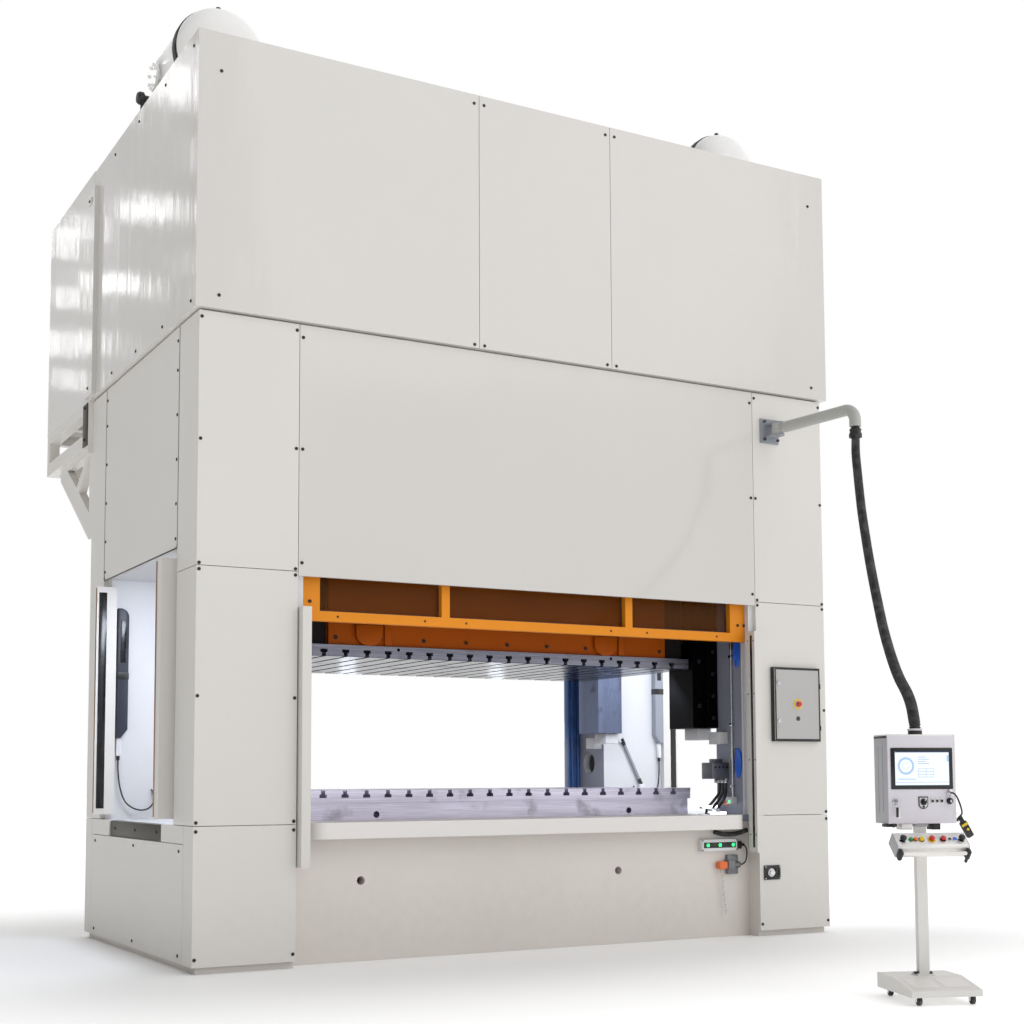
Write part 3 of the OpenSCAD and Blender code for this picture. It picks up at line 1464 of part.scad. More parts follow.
// Tilted button desk with its handle bar; button places run along the face's middle line
desk_slope = atan((desk_back_h - desk_front_h) / desk_d);
desk_mid = desk_d / 2 / cos(desk_slope);
stop_x = 2;
reset_x = 63;
green_x = -109;
orange_x = -85;
yellow_x = -53;
left_palm_x = -152;
right_palm_x = 162;
button_places = [stop_x, reset_x, green_x, orange_x, yellow_x, left_palm_x, right_palm_x];
socket_l = 24;
module on_desk(x) {
    translate([x, desk_y, desk_z + desk_back_h]) rotate([desk_slope, 0, 0]) translate([0, -desk_mid, 0])
        children();
}
module button_desk() {
    cap_w = 24;
    cap_out = 36;
    cap_in = 6;
    bar_out = 24;
    bar_down = 0.35 * desk_t;
    hold_h = 44;
    hold_z = desk_z + 48;
    color(console_grey) at_console() {
        difference() {
            on_desk(0) {
                slab(-desk_w / 2, desk_w / 2, -desk_mid, desk_mid, -desk_t, 0);
                translate([stop_x, 0, 0]) z_bar(24, -lap, 2);
            }
            for (x = button_places) on_desk(x) z_bar(stem_d / 2 + run_fit, -socket_l, 10);
        }
        slab(-post_w / 2, post_w / 2, desk_y + 14, post_y, hold_z, hold_z + hold_h);
        on_desk(0) translate([0, -desk_mid, 0]) {
            both_sides() slab(desk_w / 2 - cap_w, desk_w / 2, -cap_out, lap, cap_in - desk_t, -cap_in);
            translate([0, -bar_out, -bar_down])
                x_bar(handle_d / 2, -desk_w / 2 + cap_w - lap, desk_w / 2 - cap_w + lap);
        }
    }
}

// Push buttons: a stem in the desk and a cap that stands clear by its travel
module push_button(x, d, cap_h, lift) {
    at_console() on_desk(x) {
        z_bar(stem_d / 2, -socket_l + press_travel + 2, lift + lap);
        z_bar(d / 2, lift, lift + cap_h);
    }
}
rest_lift = press_travel + 2.5;
module stop_button() color(red) push_button(stop_x, stop_d, 14, rest_lift + 2);
module reset_button() color(red) push_button(reset_x, stop_d, 14, rest_lift);
module green_button() color("green") push_button(green_x, button_d, 6, rest_lift);
module orange_button() color("darkorange") push_button(orange_x, button_d, 6, rest_lift);
module yellow_button() color("gold") push_button(yellow_x, button_d + 6, 8, rest_lift);
module left_palm_button() color(black) push_button(left_palm_x, palm_d, 20, rest_lift);
module right_palm_button() color(black) push_button(right_palm_x, palm_d, 20, rest_lift);

bed();
left_upright();
right_upright();
crown();
tie_rods();
bolster();
left_eccentric_shaft();
right_eccentric_shaft();
left_main_gear();
right_main_gear();
shaft_bearings();
left_connecting_rod();
right_connecting_rod();
left_pinion_shaft();
right_pinion_shaft();
servo_motors();
slide_body();
slide_plate();
gib_rails();
gib_liners();
balance_cylinders();
balance_pistons();
guard_frame();
guard_windows();
guard_rails();
upper_panels();
frame_covers();
apron_tray();
rear_enclosure();
rear_platform();
surge_tanks();
curtain_posts();
work_lamps();
electric_box();
box_door();
box_stop_button();
arm_bracket();
swing_arm();
console_hose();
pedestal();
front_left_fork();
front_right_fork();
rear_left_fork();
rear_right_fork();
front_left_wheel();
front_right_wheel();
rear_left_wheel();
rear_right_wheel();
console_housing();
console_screen();
button_desk();
stop_button();
reset_button();
green_button();
orange_button();
yellow_button();
left_palm_button();
right_palm_button();
key_switch();
mode_selector();
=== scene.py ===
"""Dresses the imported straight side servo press: finishes, fittings, hose, console and studio."""

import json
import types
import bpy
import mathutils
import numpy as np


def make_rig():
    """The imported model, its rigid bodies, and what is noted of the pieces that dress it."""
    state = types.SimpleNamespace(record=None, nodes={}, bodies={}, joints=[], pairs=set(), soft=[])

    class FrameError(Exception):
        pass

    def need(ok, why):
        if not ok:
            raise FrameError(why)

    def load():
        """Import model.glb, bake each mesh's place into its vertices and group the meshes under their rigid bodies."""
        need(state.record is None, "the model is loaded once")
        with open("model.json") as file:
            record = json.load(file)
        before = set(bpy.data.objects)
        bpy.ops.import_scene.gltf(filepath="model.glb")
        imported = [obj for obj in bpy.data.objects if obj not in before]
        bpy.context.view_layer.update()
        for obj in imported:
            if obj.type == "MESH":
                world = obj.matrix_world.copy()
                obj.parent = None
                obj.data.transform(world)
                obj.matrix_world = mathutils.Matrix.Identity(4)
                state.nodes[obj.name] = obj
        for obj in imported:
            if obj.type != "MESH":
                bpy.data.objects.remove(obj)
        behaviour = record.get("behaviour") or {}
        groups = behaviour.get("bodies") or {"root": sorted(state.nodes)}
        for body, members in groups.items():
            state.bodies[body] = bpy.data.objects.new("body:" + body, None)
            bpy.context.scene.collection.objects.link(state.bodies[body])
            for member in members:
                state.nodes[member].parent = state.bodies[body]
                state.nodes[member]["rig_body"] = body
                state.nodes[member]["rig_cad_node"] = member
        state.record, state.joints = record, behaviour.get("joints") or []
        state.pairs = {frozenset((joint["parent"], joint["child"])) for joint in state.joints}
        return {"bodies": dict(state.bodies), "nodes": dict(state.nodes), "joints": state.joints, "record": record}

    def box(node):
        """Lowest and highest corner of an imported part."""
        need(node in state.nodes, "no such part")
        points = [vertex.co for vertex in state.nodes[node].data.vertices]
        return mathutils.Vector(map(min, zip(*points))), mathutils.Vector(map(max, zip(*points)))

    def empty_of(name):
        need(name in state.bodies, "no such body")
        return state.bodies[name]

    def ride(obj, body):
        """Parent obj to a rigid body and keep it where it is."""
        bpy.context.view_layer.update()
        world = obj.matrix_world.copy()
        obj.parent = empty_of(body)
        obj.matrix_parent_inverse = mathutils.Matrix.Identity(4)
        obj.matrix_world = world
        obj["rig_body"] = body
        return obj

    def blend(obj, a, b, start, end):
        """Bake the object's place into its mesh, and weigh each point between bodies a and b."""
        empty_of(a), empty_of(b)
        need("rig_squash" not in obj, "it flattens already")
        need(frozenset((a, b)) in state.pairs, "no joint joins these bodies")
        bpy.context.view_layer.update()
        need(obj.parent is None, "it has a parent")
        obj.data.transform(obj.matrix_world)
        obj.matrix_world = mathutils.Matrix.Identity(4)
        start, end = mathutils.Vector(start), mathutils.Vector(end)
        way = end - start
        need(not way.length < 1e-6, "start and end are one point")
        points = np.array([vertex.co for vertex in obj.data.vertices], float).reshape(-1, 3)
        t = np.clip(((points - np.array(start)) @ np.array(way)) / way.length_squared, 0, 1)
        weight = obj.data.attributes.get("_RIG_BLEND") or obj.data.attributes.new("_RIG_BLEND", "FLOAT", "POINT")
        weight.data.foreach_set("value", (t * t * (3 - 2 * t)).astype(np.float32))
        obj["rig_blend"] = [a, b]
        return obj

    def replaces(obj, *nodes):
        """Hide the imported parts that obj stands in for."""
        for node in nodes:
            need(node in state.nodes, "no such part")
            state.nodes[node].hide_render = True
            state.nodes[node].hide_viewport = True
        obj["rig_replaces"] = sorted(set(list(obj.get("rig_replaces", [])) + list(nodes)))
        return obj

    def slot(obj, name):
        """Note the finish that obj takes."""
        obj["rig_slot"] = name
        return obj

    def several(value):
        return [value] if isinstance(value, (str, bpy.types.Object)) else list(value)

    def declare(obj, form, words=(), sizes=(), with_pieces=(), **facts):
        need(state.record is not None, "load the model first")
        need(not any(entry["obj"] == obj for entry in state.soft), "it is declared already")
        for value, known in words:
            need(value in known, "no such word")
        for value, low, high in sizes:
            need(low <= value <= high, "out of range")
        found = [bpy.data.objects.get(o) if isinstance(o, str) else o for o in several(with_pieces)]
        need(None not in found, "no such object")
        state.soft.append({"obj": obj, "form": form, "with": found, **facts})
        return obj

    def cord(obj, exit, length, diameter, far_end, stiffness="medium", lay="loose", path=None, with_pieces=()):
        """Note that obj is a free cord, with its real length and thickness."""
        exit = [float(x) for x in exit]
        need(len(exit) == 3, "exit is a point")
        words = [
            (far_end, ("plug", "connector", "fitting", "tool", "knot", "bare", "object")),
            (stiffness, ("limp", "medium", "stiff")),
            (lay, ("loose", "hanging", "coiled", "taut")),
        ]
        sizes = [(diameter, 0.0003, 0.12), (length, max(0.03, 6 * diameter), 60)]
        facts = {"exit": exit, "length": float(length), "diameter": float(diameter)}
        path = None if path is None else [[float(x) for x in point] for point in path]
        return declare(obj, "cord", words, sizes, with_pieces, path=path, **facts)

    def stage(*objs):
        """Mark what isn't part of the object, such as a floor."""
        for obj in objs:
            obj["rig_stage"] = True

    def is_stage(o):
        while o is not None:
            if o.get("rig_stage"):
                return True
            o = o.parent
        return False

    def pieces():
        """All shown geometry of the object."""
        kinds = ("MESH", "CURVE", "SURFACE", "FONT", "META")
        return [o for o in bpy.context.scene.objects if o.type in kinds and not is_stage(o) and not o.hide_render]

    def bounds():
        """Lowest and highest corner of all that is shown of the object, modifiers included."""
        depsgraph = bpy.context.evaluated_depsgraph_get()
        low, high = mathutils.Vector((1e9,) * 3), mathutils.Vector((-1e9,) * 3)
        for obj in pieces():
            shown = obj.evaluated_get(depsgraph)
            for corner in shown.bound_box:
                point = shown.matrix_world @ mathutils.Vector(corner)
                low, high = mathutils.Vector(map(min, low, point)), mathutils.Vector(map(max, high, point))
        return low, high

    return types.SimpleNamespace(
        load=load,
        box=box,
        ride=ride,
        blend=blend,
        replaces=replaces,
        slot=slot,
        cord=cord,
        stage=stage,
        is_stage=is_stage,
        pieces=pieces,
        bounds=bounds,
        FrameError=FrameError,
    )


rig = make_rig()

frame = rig.load()
CAD_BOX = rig.bounds()

import json
import logging
import math
from dataclasses import dataclass, field
from enum import Enum
from typing import Iterable, Sequence

import bmesh
import bpy
from mathutils import Matrix, Vector

log = logging.getLogger("press")

Pair = tuple[float, float]
Levels = tuple[float, ...]
Point = tuple[float, float, float]
Colour = tuple[float, float, float, float]
Profile = tuple[Pair, ...]
Row = tuple[int, Point, Point, float]
SIZE_FILE = "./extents.json"
IMAGE_PX = 1024
SIDES = (-1.0, 1.0)
CORNERS = tuple((s, t) for s in SIDES for t in SIDES)
SHARP_EDGE = math.radians(28)
CORD_SMOOTH = 60.0
CURVE_STEPS = 40


class Axis(Enum):
    """The three directions of the shared frame."""

    X = Vector((1, 0, 0))
    Y = Vector((0, 1, 0))
    Z = Vector((0, 0, 1))


FRONT, BACK, UP = -Axis.Y.value, Axis.Y.value, Axis.Z.value


class Body(str, Enum):
    """CAD bodies that carry pieces."""

    FRAME = "frame"
    RAM = "ram"
    GUARD = "guard"
    DOOR = "door"
    BOX_STOP = "box_stop"
    ARM = "arm"
    KEY = "key"
    SELECTOR = "selector"


def tint(red: int, green: int, blue: int) -> Colour:
    """Turns a display colour into a linear one.

    Args:
        red: red from 0 to 255.
        green: green from 0 to 255.
        blue: blue from 0 to 255.

    Returns:
        The linear colour with full alpha.
    """
    parts = []
    for value in (red, green, blue):
        share = value / 255
        parts.append(share / 12.92 if share <= 0.04045 else ((share + 0.055) / 1.055) ** 2.4)
    return (parts[0], parts[1], parts[2], 1.0)


def shade(colour: Colour, factor: float) -> Colour:
    """Makes a colour darker or lighter by a factor."""
    return (colour[0] * factor, colour[1] * factor, colour[2] * factor, 1.0)


def sweep(first: float, last: float, steps: int) -> list[float]:
    """Gives even angles between two numbers of half turns, both included."""
    return [math.pi * (first + (last - first) * k / steps) for k in range(steps + 1)]


PURE_WHITE = (1.0, 1.0, 1.0, 1.0)
FLOOR_DUST = tint(122, 112, 100)
OIL_STAIN = tint(74, 62, 56)
PALE_DUST = tint(150, 146, 140)


class Signal:
    """A node's output that takes part in Python expressions."""

    def __init__(self, shader: "Shader", socket: bpy.types.NodeSocket) -> None:
        """Keeps the socket and the shader that owns it."""
        self.shader = shader
        self.socket = socket

    def math(self, operation: str, other: "Signal | float", flipped: bool = False) -> "Signal":
        """Adds one Math node.

        Args:
            operation: the node's operation.
            other: the second value.
            flipped: whether the other value comes first.

        Returns:
            The node's value.
        """
        pair = (other, self) if flipped else (self, other)
        return self.shader.node("ShaderNodeMath", {"operation": operation}, {0: pair[0], 1: pair[1]})

    def __add__(self, other: "Signal | float") -> "Signal":
        """Adds."""
        return self.math("ADD", other)

    def __radd__(self, other: float) -> "Signal":
        """Adds from the left."""
        return self.math("ADD", other, True)

    def __sub__(self, other: "Signal | float") -> "Signal":
        """Subtracts."""
        return self.math("SUBTRACT", other)

    def __rsub__(self, other: float) -> "Signal":
        """Subtracts from a number."""
        return self.math("SUBTRACT", other, True)

    def __mul__(self, other: "Signal | float") -> "Signal":
        """Multiplies."""
        return self.math("MULTIPLY", other)

    def __rmul__(self, other: float) -> "Signal":
        """Multiplies from the left."""
        return self.math("MULTIPLY", other, True)

    def step(self, low: float, high: float) -> "Signal":
        """Rises smoothly from 0 at low to 1 at high.

        Args:
            low: value that gives 0.
            high: value that gives 1.

        Returns:
            The eased share.
        """
        return self.shader.node(
            "ShaderNodeMapRange",
            {"interpolation_type": "SMOOTHSTEP", "clamp": True},
            {"Value": self, "From Min": low, "From Max": high},
        )


class Shader:
    """The node tree of one finish, or of the surround."""

    def __init__(self, name: str, world: bool = False) -> None:
        """Starts an empty material or world."""
        self.owner = (bpy.data.worlds if world else bpy.data.materials).new(name)
        self.owner.use_nodes = True
        self.tree = self.owner.node_tree
        self.tree.nodes.clear()

    def node(
        self,
        kind: str,
        settings: dict[str, object] | None = None,
        sockets: dict[int | str, object] | None = None,
        output: int | str = 0,
    ) -> Signal:
        """Adds any node.

        Args:
            kind: the node's type.
            settings: properties that are set first.
            sockets: values or links of its inputs.
            output: the output that is wanted.

        Returns:
            That output.
        """
        made = self.tree.nodes.new(kind)
        for key, value in (settings or {}).items():
            setattr(made, key, value)
        for key, value in (sockets or {}).items():
            if isinstance(value, Signal):
                self.tree.links.new(value.socket, made.inputs[key])
            else:
                made.inputs[key].default_value = value
        return Signal(self, made.outputs[output])

    def place(self) -> Signal:
        """Gives the point on the piece, in metres."""
        return self.node("ShaderNodeTexCoord", output="Object")

    def along(self, axis: int) -> Signal:
        """Gives one coordinate of the point."""
        return self.node("ShaderNodeSeparateXYZ", {}, {0: self.place()}, axis)

    def noise(self, scale: float, detail: float = 3.0, stretch: Point = (1, 1, 1)) -> Signal:
        """Gives soft noise.

        Args:
            scale: blobs per metre.
            detail: octaves.
            stretch: factor on each axis before the noise.

        Returns:
            A value round one half.
        """
        spot = self.node("ShaderNodeVectorMath", {"operation": "MULTIPLY"}, {0: self.place(), 1: stretch})
        return self.node("ShaderNodeTexNoise", {}, {"Vector": spot, "Scale": scale, "Detail": detail})

    def mix(self, share: Signal, first: Signal | Colour, second: Signal | Colour) -> Signal:
        """Mixes two colours by a share."""
        return self.node("ShaderNodeMix", {"data_type": "RGBA"}, {0: share, 6: first, 7: second}, 2)

    def bump(self, height: Signal, depth: float, below: Signal | None = None) -> Signal:
        """Turns a height into a normal.

        Args:
            height: value from 0 to 1.
            depth: metres that 1 stands for.
            below: a normal that it builds on.

        Returns:
            The new normal.
        """
        sockets: dict[int | str, object] = {"Height": height, "Distance": depth, "Strength": 1.0}
        if below is not None:
            sockets["Normal"] = below
        return self.node("ShaderNodeBump", {}, sockets)

    def surface(self, **sockets: object) -> bpy.types.Material:
        """Ends the tree in a Principled shader.

        Args:
            **sockets: socket names with underscores for spaces.

        Returns:
            The finished material.
        """
        named: dict[int | str, object] = {key.replace("_", " "): value for key, value in sockets.items()}
        skin = self.node("ShaderNodeBsdfPrincipled", {}, named)
        self.close("ShaderNodeOutputMaterial", skin)
        return self.owner

    def close(self, kind: str, skin: Signal) -> None:
        """Links the last shader to an output node."""
        end = self.tree.nodes.new(kind)
        self.tree.links.new(skin.socket, end.inputs["Surface"])


@dataclass(frozen=True)
class Paint:
    """Sprayed paint on sheet metal or a weldment."""

    name: str
    colour: Colour
    roughness: float = 0.38
    coat: float = 0.0
    mottle: float = 0.05
    grime: float = 0.10
    wave: float = 0.0
    peel: float = 0.00004
    gloss: float = 0.5
    band: tuple[float, Colour] | None = None

    def build(self) -> bpy.types.Material:
        """Makes the material: mottled colour, a middle band, grime near the floor, peel and waves."""
        tree = Shader(self.name)
        broad = tree.noise(0.9, 4.0)
        fine = tree.noise(14.0, 5.0)
        spread = (broad * 0.8 + fine * 0.2).step(0.3, 0.7)
        colour = tree.mix(spread, shade(self.colour, 1 - self.mottle), shade(self.colour, 1 + 0.5 * self.mottle))
        # The middle band takes a second colour inside |x| < half. On the slide this is its own orange face; on the
        # uprights it is painted shade on their inner faces.
        if self.band is not None:
            half, inside = self.band
            wide = tree.node("ShaderNodeMath", {"operation": "ABSOLUTE"}, {0: tree.along(0)})
            middle = tree.mix(spread, shade(inside, 1 - self.mottle), inside)
            colour = tree.mix(wide.step(half, half + 0.002), middle, colour)
        height = tree.along(2)
        low = 1 - (height + (fine - 0.5) * 0.3).step(0.0, 0.55)
        rub = tree.noise(1.6, 2.0, (1, 1, 0.3)).step(0.45, 0.8)
        dust = low * self.grime * 1.6 + rub * (0.2 * self.grime)
        colour = tree.mix(dust, colour, FLOOR_DUST)
        rough = fine * 0.08 + (self.roughness - 0.04) + dust * 0.2
        normal = tree.bump(tree.noise(260.0, 2.0), self.peel)
        if self.wave:
            normal = tree.bump(tree.noise(1.3, 2.0, (1, 1, 0.6)), self.wave, normal)
            normal = tree.bump(tree.noise(7.0, 3.0, (1, 1, 0.12)), 0.22 * self.wave, normal)
        return tree.surface(
            Base_Color=colour, Roughness=rough, Normal=normal, Coat_Weight=self.coat, Coat_Roughness=0.06,
            Specular_IOR_Level=self.gloss,
        )


@dataclass(frozen=True)
class Steel:
    """Bare machined or rolled steel."""

    name: str
    colour: Colour
    roughness: float = 0.34
    lay: Point = (2.0, 60.0, 60.0)
    stain: float = 0.3
    streak: float = 0.5
    metallic: float = 1.0
    split: tuple[int, float, Colour] | None = None

    def build(self) -> bpy.types.Material:
        """Makes the material: tool lay, broad bands, stains, scratches and painted shade below a level."""
        tree = Shader(self.name)
        lines = tree.noise(5.0, 6.0, self.lay)
        bands = tree.noise(1.0, 2.0, tuple(max(0.35, part * 0.25) for part in self.lay))
        blots = tree.noise(5.0, 6.0).step(0.56, 0.70)
        tone = (lines * 0.5 + bands * 0.5).step(0.34, 0.66)
        colour = tree.mix(tone, shade(self.colour, 1 - 0.45 * self.streak), shade(self.colour, 1 + 0.25 * self.streak))
        colour = tree.mix(blots * self.stain, colour, OIL_STAIN)
        # Painted shade: below the level the steel takes a darker colour. This stands for shade on the front gib rails
        # and for a dark reflection on the slide plate's underside.
        if self.split is not None:
            axis, level, painted_shade_colour = self.split
            below = tree.mix(tone, shade(painted_shade_colour, 0.6), painted_shade_colour)
            colour = tree.mix(tree.along(axis).step(level, level + 0.004), below, colour)
        rough = self.roughness - 0.1 + lines * 0.2 + blots * (0.3 * self.stain)
        normal = tree.bump(lines, 0.00035)
        return tree.surface(Base_Color=colour, Metallic=self.metallic, Roughness=rough, Normal=normal)


@dataclass(frozen=True)
class Plastic:
    """Moulded plastic or rubber."""

    name: str
    colour: Colour
    roughness: float = 0.4
    grain: float = 0.00015
    dust: float = 0.12
    coat: float = 0.0

    def build(self) -> bpy.types.Material:
        """Makes the material: fine moulded grain with a little dust."""
        tree = Shader(self.name)
        grain = tree.noise(420.0, 3.0)
        cloud = tree.noise(16.0, 4.0).step(0.42, 0.74)
        colour = tree.mix(cloud * self.dust, self.colour, PALE_DUST)
        colour = tree.mix(grain * 0.2, colour, shade(self.colour, 0.7))
        rough = grain * 0.12 + (self.roughness - 0.06) + cloud * 0.08
        return tree.surface(
            Base_Color=colour, Roughness=rough, Normal=tree.bump(grain, self.grain), Coat_Weight=self.coat
        )


@dataclass(frozen=True)
class Window:
    """Tinted clear sheet."""

    name: str
    colour: Colour
    alpha: float = 0.7

    def build(self) -> bpy.types.Material:
        """Makes the material: dark tint with faint wipe marks."""
        tree = Shader(self.name)
        wipe = tree.noise(2.5, 5.0, (1, 1, 3)).step(0.45, 0.75)
        colour = tree.mix(wipe * 0.3, self.colour, shade(self.colour, 1.5))
        rough = wipe * 0.12 + 0.05
        return tree.surface(Base_Color=colour, Roughness=rough, Alpha=self.alpha, Specular_IOR_Level=0.12)


@dataclass(frozen=True)
class Glow:
    """A lit lens, lamp or display field."""

    name: str
    colour: Colour
    strength: float = 3.0
    unevenness: float = 0.2

    def build(self) -> bpy.types.Material:
        """Makes the material: an uneven emission under a glossy face."""
        tree = Shader(self.name)
        cloud = tree.noise(30.0, 2.0)
        light = tree.mix(cloud * self.unevenness, self.colour, shade(self.colour, 0.55))
        return tree.surface(
            Base_Color=shade(self.colour, 0.5), Emission_Color=light, Emission_Strength=self.strength, Roughness=0.2
        )


Finish = Paint | Steel | Plastic | Window | Glow


class Paintbox:
    """Builds each finish once."""

    made: dict[str, bpy.types.Material] = {}

    @classmethod
    def get(cls, finish: Finish) -> bpy.types.Material:
        """Gives the finish's material, made on first use."""
        if finish.name not in cls.made:
            cls.made[finish.name] = finish.build()
        return cls.made[finish.name]


WHITE = Paint("cover_white", tint(221, 218, 213), 0.42, mottle=0.015, grime=0.05)
GLOSS = Paint("crown_white", tint(214, 211, 207), 0.10, mottle=0.012, grime=0.02, wave=0.008)
PANEL = Paint("apron_white", tint(232, 228, 225), 0.42, mottle=0.015, grime=0.02)
JAMB = Paint("weldment_white", tint(216, 216, 217), 0.45, mottle=0.03, grime=0.10)
# The band colour is painted shade: the uprights' inner faces, just inside |x| = 1.7568, take a darker blue-grey.
LEG = Paint("leg_white", tint(216, 216, 217), 0.45, mottle=0.03, grime=0.10, band=(1.7568, tint(146, 151, 166)))
BED_WHITE = Paint("bed_white", tint(224, 218, 212), 0.46, mottle=0.04, grime=0.08)
TANK = Paint("tank_white", tint(246, 245, 243), 0.22, coat=0.4, mottle=0.02, grime=0.03)
ORANGE = Paint("guard_orange", tint(234, 143, 20), 0.45, mottle=0.05, grime=0.06, gloss=0.3)
SLIDE_ORANGE = Paint(
    "slide_orange", tint(34, 31, 29), 0.5, mottle=0.10, grime=0.06, gloss=0.12, band=(1.333, tint(178, 82, 0))
)
MOTOR = Paint("motor_grey", tint(70, 74, 80), 0.45, mottle=0.10, grime=0.15)
BLACK_PAINT = Paint("tracks_black", tint(30, 30, 32), 0.45, mottle=0.2, grime=0.3)
LAMP_GREY = Paint("lamp_grey", tint(150, 154, 162), 0.42, mottle=0.06)
# Darker copy of the lamp grey: painted shade on the left work lamp.
LAMP_PAINTED_SHADE = Paint("lamp_painted_shade", tint(42, 47, 60), 0.45, mottle=0.06, grime=0.02)
ARM_WHITE = Paint("arm_white", tint(178, 179, 175), 0.34, mottle=0.03, grime=0.04)
DOOR_GREY = Paint("door_grey", tint(184, 183, 181), 0.40, mottle=0.03)
LILAC = Paint("console_lilac", tint(222, 218, 226), 0.36, mottle=0.03, grime=0.03)
CONSOLE_GREY = Paint("console_grey", tint(176, 177, 182), 0.40, mottle=0.04, grime=0.05)
FOOT_GREY = Paint("foot_grey", tint(226, 224, 220), 0.40, mottle=0.04, grime=0.04)
OLIVE = Paint("sill_olive", tint(62, 60, 50), 0.5, mottle=0.15, grime=0.2)
# Painted reflection: glossy blue that stands for the blue light on the rear opening's edges and on the uprights' inner
# faces.
BLUE_REFLECTION = Paint("painted_blue_reflection", tint(64, 110, 178), 0.12, coat=0.6, mottle=0.35, grime=0.05, wave=0.006)
BED_STEEL = Steel("bolster_steel", tint(216, 212, 230), 0.40, (0.7, 8.0, 34.0), 0.35, 0.55)
# The split paints the plate below z = 1.923 dark blue: a painted dark reflection on the slide plate's underside.
PLATE_STEEL = Steel(
    "plate_steel", tint(134, 136, 150), 0.24, (0.8, 8.0, 30.0), 0.25, 0.7, 0.7, (2, 1.923, tint(20, 30, 52))
)
# The split paints the rails in front of y = 0 near black: painted shade on the front gib rails, while the rear rails
# keep the steel colour.
GIB_STEEL = Steel(
    "gib_steel", tint(116, 125, 150), 0.46, (40.0, 40.0, 1.5), 0.4, 0.5, split=(1, 0.0, tint(16, 16, 19))
)
DARK_STEEL = Steel("rail_steel", tint(84, 84, 92), 0.38, (40.0, 40.0, 1.5), 0.4, 0.5)
SHAFT_STEEL = Steel("shaft_steel", tint(150, 150, 152), 0.28, (40.0, 3.0, 40.0), 0.2, 0.3)
BRONZE = Steel("liner_bronze", tint(150, 104, 52), 0.34, (40.0, 40.0, 2.0), 0.3, 0.4)
SILVER = Steel("desk_silver", tint(232, 230, 227), 0.34, (2.0, 60.0, 60.0), 0.04, 0.2, 0.35)
CHROME = Steel("bright_metal", tint(210, 210, 212), 0.16, (30.0, 30.0, 30.0), 0.05, 0.15)
ARM_GREY = Steel("arm_grey", tint(128, 130, 134), 0.36, (30.0, 30.0, 2.0), 0.1, 0.25, 0.7)
BLACK = Plastic("black_plastic", tint(24, 24, 26), 0.38)
SCREW_BLACK = Plastic("screw_black", tint(20, 20, 22), 0.35, dust=0.05)
RUBBER = Plastic("hose_rubber", tint(30, 30, 33), 0.5, 0.0003, 0.25)
TYRE = Plastic("castor_rubber", tint(26, 26, 28), 0.6, 0.0004, 0.3)
RED = Plastic("red_plastic", tint(206, 26, 28), 0.28, 0.00005, 0.04, 0.4)
YELLOW = Plastic("yellow_plastic", tint(240, 198, 20), 0.34, 0.0001, 0.04)
GREEN = Plastic("green_plastic", tint(20, 150, 70), 0.3, 0.00005, 0.03, 0.4)
AMBER = Plastic("orange_plastic", tint(240, 110, 30), 0.3, 0.00005, 0.03, 0.4)
BLUE = Plastic("blue_plastic", tint(36, 104, 226), 0.3, 0.00005, 0.03, 0.4)
PALE = Plastic("pale_plastic", tint(226, 226, 228), 0.42, 0.0001, 0.05)
BROWN_GLASS = Window("brown_window", tint(100, 58, 20), 0.42)
LENS = Plastic("dark_lens", tint(16, 14, 17), 0.20, 0.00002, 0.01, 0.05)
LED_GREEN = Glow("led_green", tint(40, 255, 110), 4.0)
LED_WHITE = Glow("led_white", tint(236, 243, 255), 6.0, 0.05)
SCREEN_PALE = Glow("screen_pale", tint(226, 235, 247), 0.82, 0.06)
SCREEN_BLUE = Glow("screen_blue", tint(166, 194, 226), 0.75, 0.1)
SCREEN_GREY = Glow("screen_grey", tint(150, 166, 190), 0.7, 0.1)
SCREEN_DARK = Glow("screen_dark", tint(40, 60, 90), 0.5, 0.1)


